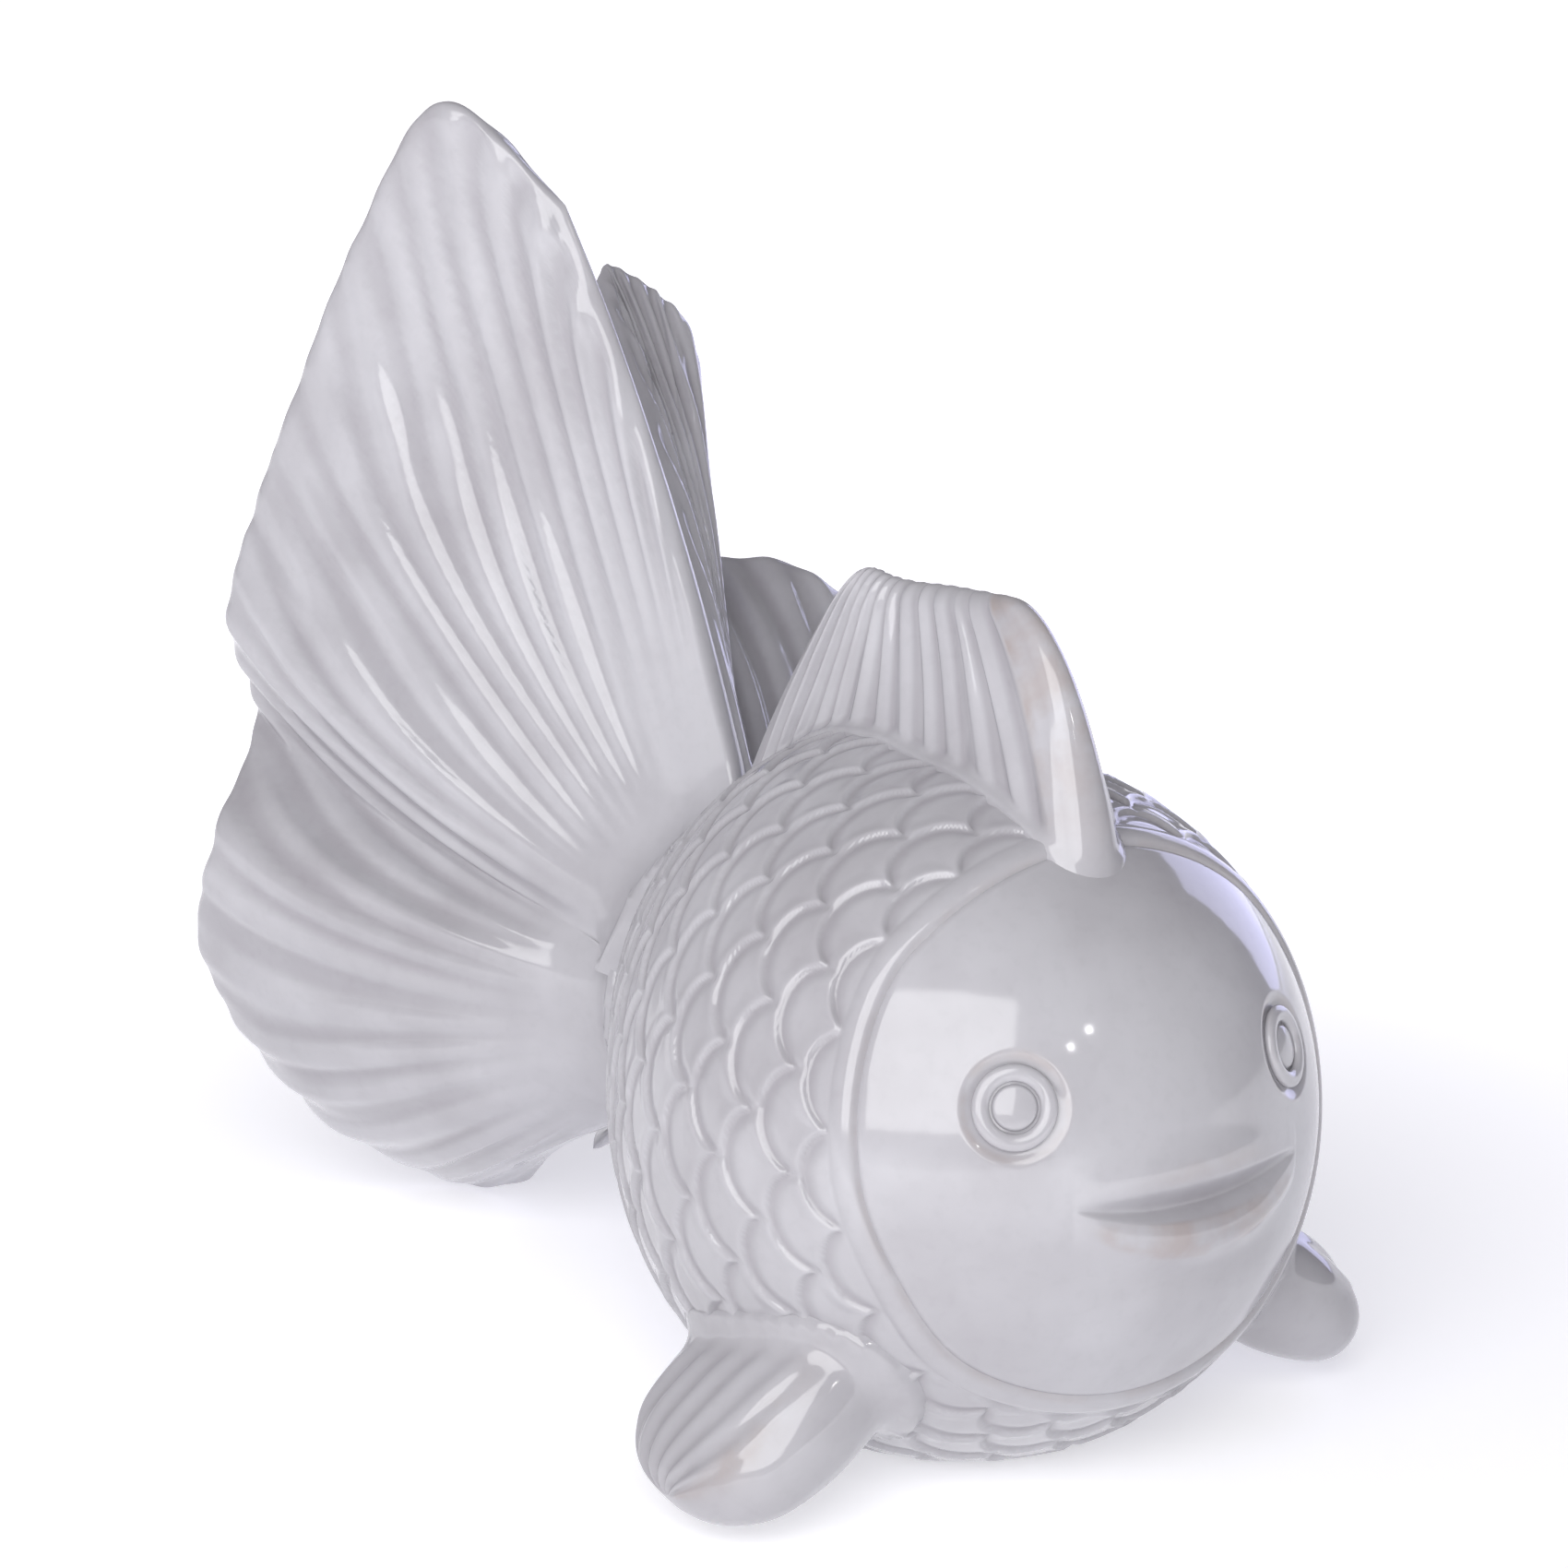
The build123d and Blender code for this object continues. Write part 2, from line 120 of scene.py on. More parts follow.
def add_node(tree: bpy.types.NodeTree, kind: str, settings: dict[str, Any] | None = None,
             links: dict[Any, Any] | None = None) -> bpy.types.Node:
    """Add a node to a tree with its settings and its links.

    Args:
        tree: the node tree that takes the node.
        kind: the node's type name.
        settings: the node's own properties by name.
        links: input socket name or number to an output socket or a plain value.
    Returns:
        The new node.
    """
    node = tree.nodes.new(kind)
    for name, value in (settings or {}).items():
        setattr(node, name, value)
    for key, value in (links or {}).items():
        if isinstance(value, bpy.types.NodeSocket):
            tree.links.new(value, node.inputs[key])
        else:
            node.inputs[key].default_value = value
    return node


def bare_material(name: str) -> tuple[bpy.types.Material, bpy.types.NodeTree, bpy.types.NodeSocket]:
    """Start a material with an empty node tree.

    Args:
        name: the real material's name.
    Returns:
        The material, its tree and the socket that gives the place on the object.
    """
    made = bpy.data.materials.new(name)
    made.use_nodes = True
    made.node_tree.nodes.clear()
    return made, made.node_tree, add_node(made.node_tree, "ShaderNodeTexCoord").outputs["Object"]


def smooth_step(low: float, high: float, value: Grid) -> Grid:
    """Rise smoothly between two values.

    Args:
        low: where the rise starts.
        high: where it ends; below low it is a fall.
        value: where to read it.
    Returns:
        0 before low, 1 past high and a smooth rise between them.
    """
    part = np.clip((value - low) / (high - low), 0.0, 1.0)
    return part * part * (3 - 2 * part)


def soft_line(value: Grid, middle: Grid | float, width: Grid | float) -> Grid:
    """Return a bell that is 1 at its middle and fades over its width."""
    return np.exp(-((value - middle) / width) ** 2)


def round_off(near: Grid) -> Grid:
    """Return how thick a rounded edge is, from 0 at its rim to 1, at a share of its width."""
    return np.sqrt(np.clip(1 - (1 - np.clip(near, 0, 1)) ** 2, 0, 1))


def fillet(gap: Grid, radius: float) -> Grid:
    """Return how far a round fillet stands out of a wall.

    Args:
        gap: the distance from the surface that the wall stands on.
        radius: the fillet's radius.
    Returns:
        The radius at the surface, falling to nothing one radius away.
    """
    off = np.clip(gap, 0, radius)
    return radius - np.sqrt(radius ** 2 - (radius - off) ** 2)


def catmull(rows: Grid, places: Grid) -> Grid:
    """Return points on a smooth line through the rows.

    Args:
        rows: the line's knots, one a row.
        places: where to read it, from 0 to 1.
    Returns:
        One point for each place.
    """
    count = len(rows) - 1
    at = np.clip(places, 0.0, 1.0) * count
    index = np.minimum(at.astype(int), count - 1)
    part = (at - index)[:, None]
    padded = np.vstack([2 * rows[0] - rows[1], rows, 2 * rows[-1] - rows[-2]])
    before, first, last, after = (padded[index + n] for n in range(4))
    total = first * 2 + (last - before) * part
    total = total + (before * 2 - first * 5 + last * 4 - after) * part ** 2
    total = total + (first * 3 - before - last * 3 + after) * part ** 3
    return total / 2


def unit(vectors: Grid) -> Grid:
    """Return the vectors at length one."""
    return vectors / np.maximum(np.linalg.norm(vectors, axis=-1, keepdims=True), 1e-12)


def on_floor(points: Grid) -> Grid:
    """Lift every point that lies below the floor up to it, and return the points."""
    points[..., 2] = np.maximum(points[..., 2], 0.0)
    return points


def make_object(name: str, points: Grid, faces: list, values: dict[str, Grid]) -> bpy.types.Object:
    """Make a smooth mesh object at the origin.

    Args:
        name: the piece's name.
        points: vertex places in millimetres.
        faces: vertex numbers of each face, turned outward.
        values: one number per vertex for each attribute.
    Returns:
        The new object, linked to the scene.
    """
    mesh = bpy.data.meshes.new(name)
    mesh.from_pydata((np.asarray(points) * MM).tolist(), [], faces)
    mesh.polygons.foreach_set("use_smooth", [True] * len(mesh.polygons))
    for key, numbers in values.items():
        layer = mesh.attributes.new(key, "FLOAT", "POINT")
        layer.data.foreach_set("value", np.asarray(numbers, dtype=np.float32))
    mesh.update()
    made = bpy.data.objects.new(name, mesh)
    bpy.context.scene.collection.objects.link(made)
    return made


def quads(rows: int, columns: int, closed: bool, start: int = 0) -> list[tuple[int, ...]]:
    """Return the faces of a grid of vertices, row after row.

    Args:
        rows: the number of rows.
        columns: the number of columns.
        closed: whether the last column joins the first.
        start: the number of the grid's first vertex.
    Returns:
        Four vertex numbers for each face.
    """
    strips = columns if closed else columns - 1
    row, column = np.meshgrid(np.arange(rows - 1), np.arange(strips), indexing="ij")
    after = (column + 1) % columns
    corners = [row * columns + column, row * columns + after,
               (row + 1) * columns + after, (row + 1) * columns + column]
    return [tuple(face) for face in (np.stack(corners, -1).reshape(-1, 4) + start).tolist()]


def fan(start: int, columns: int, tip: int) -> list[tuple[int, ...]]:
    """Return the triangles between a ring of vertices and its tip.

    Args:
        start: the number of the ring's first vertex.
        columns: how many vertices the ring has.
        tip: the number of the tip's vertex.
    Returns:
        Three vertex numbers for each face.
    """
    return [(start + n, start + (n + 1) % columns, tip) for n in range(columns)]


def flip_outward(piece: bpy.types.Object) -> None:
    """Turn a piece's faces so that its volume is positive.

    Args:
        piece: the object, closed all round.
    """
    mesh = piece.data
    mesh.calc_loop_triangles()
    corners = np.empty(len(mesh.loop_triangles) * 3, dtype=np.int64)
    mesh.loop_triangles.foreach_get("vertices", corners)
    places = np.empty(len(mesh.vertices) * 3)
    mesh.vertices.foreach_get("co", places)
    a, b, c = np.moveaxis(places.reshape(-1, 3)[corners.reshape(-1, 3)], 1, 0)
    middle = places.reshape(-1, 3).mean(0)
    if np.sum(np.cross(a - middle, b - middle) * (c - middle)) < 0:
        mesh.flip_normals()


def finish_piece(piece: bpy.types.Object, glaze: bpy.types.Material, nodes: tuple[str, ...]) -> None:
    """Give a piece its glaze and its body, and hide the CAD nodes that it stands for.

    Args:
        piece: the finished object.
        glaze: its only material.
        nodes: the CAD nodes that it replaces.
    """
    piece.data.materials.clear()
    piece.data.materials.append(glaze)
    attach(piece, BODY)
    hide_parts(*nodes)
    piece.data.calc_loop_triangles()
    log.info("%s: %d triangles", piece.name, len(piece.data.loop_triangles))


class Relief(Enum):
    """The two reliefs pressed into the clay."""

    SCALES = "Overlapping scales"
    RIBS = "Fin ribs"


@dataclass(frozen=True)
class SoftLine:
    """A weight that is strongest at one distance. Distances in millimetres."""

    weight: float
    middle: float
    width: float

    def at(self, distance: Grid) -> Grid:
        """Return the weight at each distance."""
        return self.weight * soft_line(distance, self.middle, self.width)


@dataclass(frozen=True)
class SoftRise:
    """A weight that grows smoothly from one distance to another. Distances in millimetres."""

    weight: float
    start: float
    end: float

    def at(self, distance: Grid) -> Grid:
        """Return the weight at each distance."""
        return self.weight * smooth_step(self.start, self.end, distance)


@dataclass(frozen=True)
class MilkGlaze:
    """Tin-white glaze over stoneware, glossy and a little uneven. Sizes in millimetres.

    It is near white on the open forms, greyer in the hollows, where pooled glaze and
    painted shade both darken it, and lets the tan clay through where it runs thin on an edge.
    """

    name: str = "tin_white_glaze_on_stoneware"
    open_colour: str = "#B6B5BA"
    shade_colour: str = "#A8A6AB"
    # the grey of the hollows: pooled glaze and painted shade
    pool_and_shade_colour: str = "#8A868C"
    clay_colour: str = "#9C8A80"
    pool_and_shade_weight: float = 0.42
    gloss_roughness: float = 0.09
    refraction: float = 1.52
    cloud_size: float = 38.0
    cloud_range: Pair = (0.38, 0.68)
    cloud_roughness: float = 0.55
    speck_size: float = 2.6
    speck_weight: float = 0.30
    patch_size: float = 7.8
    patch_range: Pair = (0.35, 0.62)
    ripple_size: float = 5.0
    ripple_height: float = 0.05
    ripple_strength: float = 0.6

    def material(self) -> bpy.types.Material:
        """Build the glaze's node tree.

        Returns:
            The finished material.
        """
        made, tree, place = bare_material(self.name)
        pool_and_shade = add_node(tree, "ShaderNodeAttribute", {"attribute_name": POOL_AND_SHADE}).outputs["Fac"]
        warm = add_node(tree, "ShaderNodeAttribute", {"attribute_name": WARM}).outputs["Fac"]
        # broad clouds: the glaze coat is thicker and thinner over a few centimetres
        clouds = add_node(tree, NOISE, links={
            "Vector": place, "Scale": 1 / (self.cloud_size * MM), "Detail": 3.0,
            "Roughness": self.cloud_roughness})
        cloudy = add_node(tree, RANGE, links={
            "Value": clouds.outputs["Fac"], "From Min": self.cloud_range[0],
            "From Max": self.cloud_range[1]})
        ground = add_node(tree, MIX, COLOUR, {
            "Factor": cloudy.outputs[0], 6: srgb(self.open_colour), 7: srgb(self.shade_colour)})
        # fine mottling of the settled glaze, drawn coarse enough to show
        specks = add_node(tree, NOISE, links={
            "Vector": place, "Scale": 1 / (self.speck_size * MM), "Detail": 2.0})
        pooled = add_node(tree, MATH, CLAMPED_SUM, {
            0: specks.outputs["Fac"], 1: self.speck_weight, 2: -self.speck_weight / 2})
        # the hollows are darkened, partly by pooled glaze and partly by painted shade
        depth = add_node(tree, MATH, CLAMPED_SUM, {
            0: pool_and_shade, 1: self.pool_and_shade_weight, 2: pooled.outputs[0]})
        with_pools_and_shade = add_node(tree, MIX, COLOUR, {
            "Factor": depth.outputs[0], 6: ground.outputs[2], 7: srgb(self.pool_and_shade_colour)})
        # the glaze breaks in patches, so the clay colour comes and goes along an edge
        patches = add_node(tree, NOISE, links={
            "Vector": place, "Scale": 1 / (self.patch_size * MM), "Detail": 3.0})
        broken = add_node(tree, RANGE, links={
            "Value": patches.outputs["Fac"], "From Min": self.patch_range[0],
            "From Max": self.patch_range[1]})
        thin = add_node(tree, MATH, {"operation": "MULTIPLY", "use_clamp": True}, {
            0: warm, 1: broken.outputs[0]})
        colour = add_node(tree, MIX, COLOUR, {
            "Factor": thin.outputs[0], 6: with_pools_and_shade.outputs[2], 7: srgb(self.clay_colour)})
        # gentle ripple of a brushed glaze: breaks up the reflections without hiding them
        ripple = add_node(tree, NOISE, links={
            "Vector": place, "Scale": 1 / (self.ripple_size * MM), "Detail": 1.0})
        bump = add_node(tree, "ShaderNodeBump", links={
            "Height": ripple.outputs["Fac"], "Distance": self.ripple_height * MM,
            "Strength": self.ripple_strength})
        surface = add_node(tree, "ShaderNodeBsdfPrincipled", links={
            "Base Color": colour.outputs[2], "Roughness": self.gloss_roughness, "IOR": self.refraction,
            "Normal": bump.outputs["Normal"]})
        add_node(tree, "ShaderNodeOutputMaterial", links={"Surface": surface.outputs["BSDF"]})
        return made


@dataclass(frozen=True)
class PlainPaper:
    """Matt white paper sweep that also glows, as painted light, so the floor reads as a plain pale ground.

    The sweep is in metres and the fibre size in millimetres.
    """

    name: str = "matt_white_paper"
    colour: str = "#F6F6F8"
    fibre_colour: str = "#FAFAFB"
    fibre_size: float = 3.85
    roughness: float = 0.9
    near_glow: float = 0.40
    far_glow: float = 0.90
    sweep: Pair = (0.14, 0.60)

    def material(self) -> bpy.types.Material:
        """Build the paper's node tree, a matt white with the faintest fibre mottle.

        Returns:
            The finished material.
        """
        made, tree, place = bare_material(self.name)
        # real fibres are too fine to show, so their mottle is drawn a few millimetres wide
        fibre = add_node(tree, NOISE, links={"Vector": place, "Scale": 1 / (self.fibre_size * MM)})
        colour = add_node(tree, MIX, COLOUR, {
            "Factor": fibre.outputs["Fac"], 6: srgb(self.colour), 7: srgb(self.fibre_colour)})
        # the paper glows, a painted light that grows farther from the fish, so it stays white to the
        # frame's edge
        reach = add_node(tree, VECTOR, {"operation": "LENGTH"}, {0: place})
        glow = add_node(tree, RANGE, SOFT, {
            "Value": reach.outputs["Value"], "From Min": self.sweep[0], "From Max": self.sweep[1],
            "To Min": self.near_glow, "To Max": self.far_glow})
        surface = add_node(tree, "ShaderNodeBsdfPrincipled", links={
            "Base Color": colour.outputs[2], "Roughness": self.roughness,
            "Emission Color": srgb(self.colour), "Emission Strength": glow.outputs[0]})
        add_node(tree, "ShaderNodeOutputMaterial", links={"Surface": surface.outputs["BSDF"]})
        return made


class ReliefTree:
    """A Geometry Nodes tree that moves a skin along its normals and keeps how deep it is, which darkens the
    hollows as pooled glaze and painted shade.
    """

    def __init__(self, relief: Relief, sizes: dict[str, float]) -> None:
        """Start the tree with its named inputs.

        Args:
            relief: which relief this is.
            sizes: named inputs and their values.
        """
        self.sizes = sizes
        self.tree = bpy.data.node_groups.new(relief.value, "GeometryNodeTree")
        self.tree.is_modifier = True
        face = self.tree.interface
        face.new_socket("Geometry", in_out="INPUT", socket_type="NodeSocketGeometry")
        for name in sizes:
            face.new_socket(name, in_out="INPUT", socket_type="NodeSocketFloat")
        face.new_socket("Glaze", in_out="INPUT", socket_type="NodeSocketMaterial")
        face.new_socket("Geometry", in_out="OUTPUT", socket_type="NodeSocketGeometry")
        self.entry = add_node(self.tree, "NodeGroupInput")
        self.known: dict[str, Any] = {name: self.entry.outputs[name] for name in sizes}

    def read(self, names: tuple[str, ...]) -> None:
        """Make the mesh's own attributes known to the sums.

        Args:
            names: the attributes, which are read as numbers.
        """
        for name in names:
            node = add_node(self.tree, READ, {"data_type": "FLOAT"}, {"Name": name})
            self.known[name] = node.outputs["Attribute"]

    def work_out(self, steps: tuple[tuple, ...]) -> None:
        """Add one node for each step and remember its result.

        Args:
            steps: rows of (result name, (node type, settings), terms), where a term
                is a number or the name of an earlier result.
        """
        for name, (kind, settings), terms in steps:
            pairs = terms.items() if isinstance(terms, dict) else enumerate(terms)
            links = {key: self.known[term] if isinstance(term, str) else term for key, term in pairs}
            self.known[name] = add_node(self.tree, kind, settings, links).outputs[0]

    def close(self, height: str, pool_and_shade: str) -> None:
        """Move the skin by the height, store the depth that sets the pooled glaze and painted shade, and
        end the tree.

        Args:
            height: the result that says how far each point moves, in metres.
            pool_and_shade: the result that says how deep the glaze lies there, which also sets the painted
                shade.
        """
        normal = add_node(self.tree, "GeometryNodeInputNormal").outputs[0]
        lift = add_node(self.tree, VECTOR, {"operation": "SCALE"}, {0: normal, "Scale": self.known[height]})
        stored = add_node(self.tree, STORE, {"data_type": "FLOAT", "domain": "POINT"}, {
            "Geometry": self.entry.outputs["Geometry"], "Name": POOL_AND_SHADE, "Value": self.known[pool_and_shade]})
        moved = add_node(self.tree, "GeometryNodeSetPosition", links={
            "Geometry": stored.outputs[0], "Offset": lift.outputs[0]})
        real = add_node(self.tree, "GeometryNodeRealizeInstances", links={"Geometry": moved.outputs[0]})
        dressed = add_node(self.tree, "GeometryNodeSetMaterial", links={
            "Geometry": real.outputs[0], "Material": self.entry.outputs["Glaze"]})
        add_node(self.tree, "NodeGroupOutput", links={"Geometry": dressed.outputs[0]})

    def press(self, piece: bpy.types.Object, glaze: bpy.types.Material) -> None:
        """Press the relief into a piece and leave it as a plain mesh.

        Args:
            piece: the object whose skin is moved.
            glaze: the material set by the tree.
        """
        pressed = piece.modifiers.new("relief", "NODES")
        pressed.node_group = self.tree
        sockets = {item.name: item.identifier for item in self.tree.interface.items_tree
                   if item.in_out == "INPUT"}
        for name, value in self.sizes.items():
            pressed[sockets[name]] = float(value)
        pressed[sockets["Glaze"]] = glaze
        graph = bpy.context.evaluated_depsgraph_get()
        plain = bpy.data.meshes.new_from_object(piece.evaluated_get(graph))
        piece.modifiers.remove(pressed)
        old, piece.data = piece.data, plain
        bpy.data.meshes.remove(old)


@dataclass
class Globe:
    """The hollow body: half a ball in front, an oval stem behind.

    Sizes in millimetres. A station of the stem is its place back as a share of the stem's
    reach, then its half width, rise and fall as shares of the radius. A point of the gill
    line is its place ahead of the globe's centre and above it, as shares of the radius.
    The probe is the small step along the skin, and the small turn round it, that give a normal.
    """

    radius: float = 75.0
    centre_height: float = 69.0
    stem_reach: float = 105.0
    stem_stations: Table = (
        (0.179, 0.955, 1.020, 0.955), (0.357, 0.845, 0.985, 0.865), (0.536, 0.690, 0.850, 0.720),
        (0.714, 0.520, 0.670, 0.540), (0.857, 0.370, 0.520, 0.380), (1.000, 0.220, 0.400, 0.300))
    gill_line: Table = (
        (0.520, 1.100), (0.522, 0.850), (0.512, 0.720), (0.507, 0.595), (0.547, 0.346),
        (0.600, 0.070), (0.667, -0.188), (0.712, -0.420), (0.780, -0.580), (0.840, -0.720))
    gill_angles: Pair = (0.35, 1.35)
    gill_halvings: int = 40
    gill_points: int = 200
    cap_share: float = 0.0875
    stem_points: int = 400
    cap_points: int = 40
    stem_slope: float = 0.86
    least_share: float = 0.05
    probe: Pair = (0.4, 0.004)
    probe_end: float = 0.3
    eye_side: float = 35.0
    eye_rise: float = 21.8

    def __post_init__(self) -> None:
        """Work out the stem's smooth profile and its length along the skin."""
        knots = np.array([(0.0, 1.0, 1.0, 1.0), *self.stem_stations])
        knots = knots * np.array([self.stem_reach, self.radius, self.radius, self.radius])
        slopes = np.gradient(knots, knots[:, 0], axis=0)
        slopes[0, 1:] = 0.0
        back = np.linspace(0.0, self.stem_reach, self.stem_points)
        index = np.clip(np.searchsorted(knots[:, 0], back, side="right") - 1, 0, len(knots) - 2)
        span = (knots[index + 1, 0] - knots[index, 0])[:, None]
        part = (back - knots[index, 0])[:, None] / span
        sizes = ((2 * part ** 3 - 3 * part ** 2 + 1) * knots[index]
                 + (part ** 3 - 2 * part ** 2 + part) * span * slopes[index]
                 + (3 * part ** 2 - 2 * part ** 3) * knots[index + 1]
                 + (part ** 3 - part ** 2) * span * slopes[index + 1])
        # the end closes as a low rounded cap inside the root of the tail
        turn = np.linspace(0.0, math.pi / 2, self.cap_points)[1:, None]
        tail = np.hstack([self.stem_reach + self.cap_share * self.radius * np.sin(turn),
                          np.cos(turn) * sizes[-1:, 1:]])
        line = np.vstack([np.hstack([back[:, None], sizes[:, 1:]]), tail])
        steps = np.hypot(np.diff(line[:, 0]), np.diff(line[:, 1]))
        self.rear_arc = self.radius * math.pi / 2 + np.concatenate([[0.0], np.cumsum(steps)])
        self.rear_line = line
        self.end_arc = float(self.rear_arc[-1])
        self.stem_arc = float(self.rear_arc[self.stem_points - 1])
        self.centre = np.array([0.0, 0.0, self.centre_height])

    def skin(self, arc: Grid, turn: Grid) -> Grid:
        """Return points of the bare body.

        Args:
            arc: distance along the skin from the nose, in millimetres.
            turn: angle round the body from the top, towards the right flank.
        Returns:
            Points in millimetres.
        """
        front = np.clip(arc / self.radius, 0.0, math.pi / 2)
        back = [np.interp(arc, self.rear_arc, self.rear_line[:, n]) for n in range(4)]
        ahead = arc < self.radius * math.pi / 2
        size = np.sin(front) * self.radius
        along = np.where(ahead, -np.cos(front) * self.radius, back[0])
        wide, rise, fall = (np.where(ahead, size, back[n]) for n in (1, 2, 3))
        up = np.where(np.cos(turn) > 0, rise, fall) * np.cos(turn)
        return np.stack([-wide * np.sin(turn), along, self.centre_height + up], -1)

    def outward(self, arc: Grid, turn: Grid) -> Grid:
        """Return the bare body's unit normals, from points a small step away.

        Args:
            arc: distance along the skin from the nose, in millimetres.
            turn: angle round the body from the top.
        Returns:
            Vectors that point out of the body.
        """
        step, swing = self.probe
        round_way = self.skin(arc, turn + swing) - self.skin(arc, turn - swing)
        further = np.minimum(arc + step, self.end_arc - self.probe_end)
        normal = unit(np.cross(round_way, self.skin(further, turn) - self.skin(arc - step, turn)))
        return normal * np.sign(np.sum(normal * (self.skin(arc, turn) - self.centre), -1))[..., None]

    def gill(self, turn: Grid) -> Grid:
        """Find where the gill line crosses each line from the nose.

        Args:
            turn: angle round the body from the top.
        Returns:
            Its distance along the skin from the nose, in millimetres.
        """
        line = catmull(np.array(self.gill_line), np.linspace(0, 1, self.gill_points))[::-1]
        low, high = (np.full_like(turn, angle) for angle in self.gill_angles)
        for _ in range(self.gill_halvings):
            middle = (low + high) / 2
            ahead = np.cos(middle) > np.interp(np.sin(middle) * np.cos(turn), line[:, 1], line[:, 0])
            low, high = np.where(ahead, middle, low), np.where(ahead, high, middle)
        return low * self.radius

    def gap(self, points: Grid) -> Grid:
        """Return about how far points stand off the body's skin.

        Args:
            points: places in millimetres.
        Returns:
            Distances in millimetres, below nothing inside the body.
        """
        low = points - self.centre
        ball = np.linalg.norm(low, axis=-1) - self.radius
        along = np.clip(points[..., 1], 0, self.stem_reach)
        stem_line = self.rear_line[:self.stem_points]
        wide, rise, fall = (np.interp(along, stem_line[:, 0], stem_line[:, n]) for n in (1, 2, 3))
        high = np.where(low[..., 2] > 0, rise, fall)
        reach = np.hypot(low[..., 0], low[..., 2])
        share = np.hypot(low[..., 0] / wide, low[..., 2] / high)
        stem = reach * (1 - 1 / np.maximum(share, self.least_share)) * self.stem_slope
        return np.where(points[..., 1] < 0, ball, stem)

    def eye_way(self, side: int) -> Grid:
        """Return the way from the globe's centre to an eye.

        Args:
            side: -1 for the fish's right eye, 1 for its left one.
        Returns:
            A vector of length one.
        """
        ahead = math.sqrt(self.radius ** 2 - self.eye_side ** 2 - self.eye_rise ** 2)
        return unit(np.array([side * self.eye_side, -ahead, self.eye_rise]))


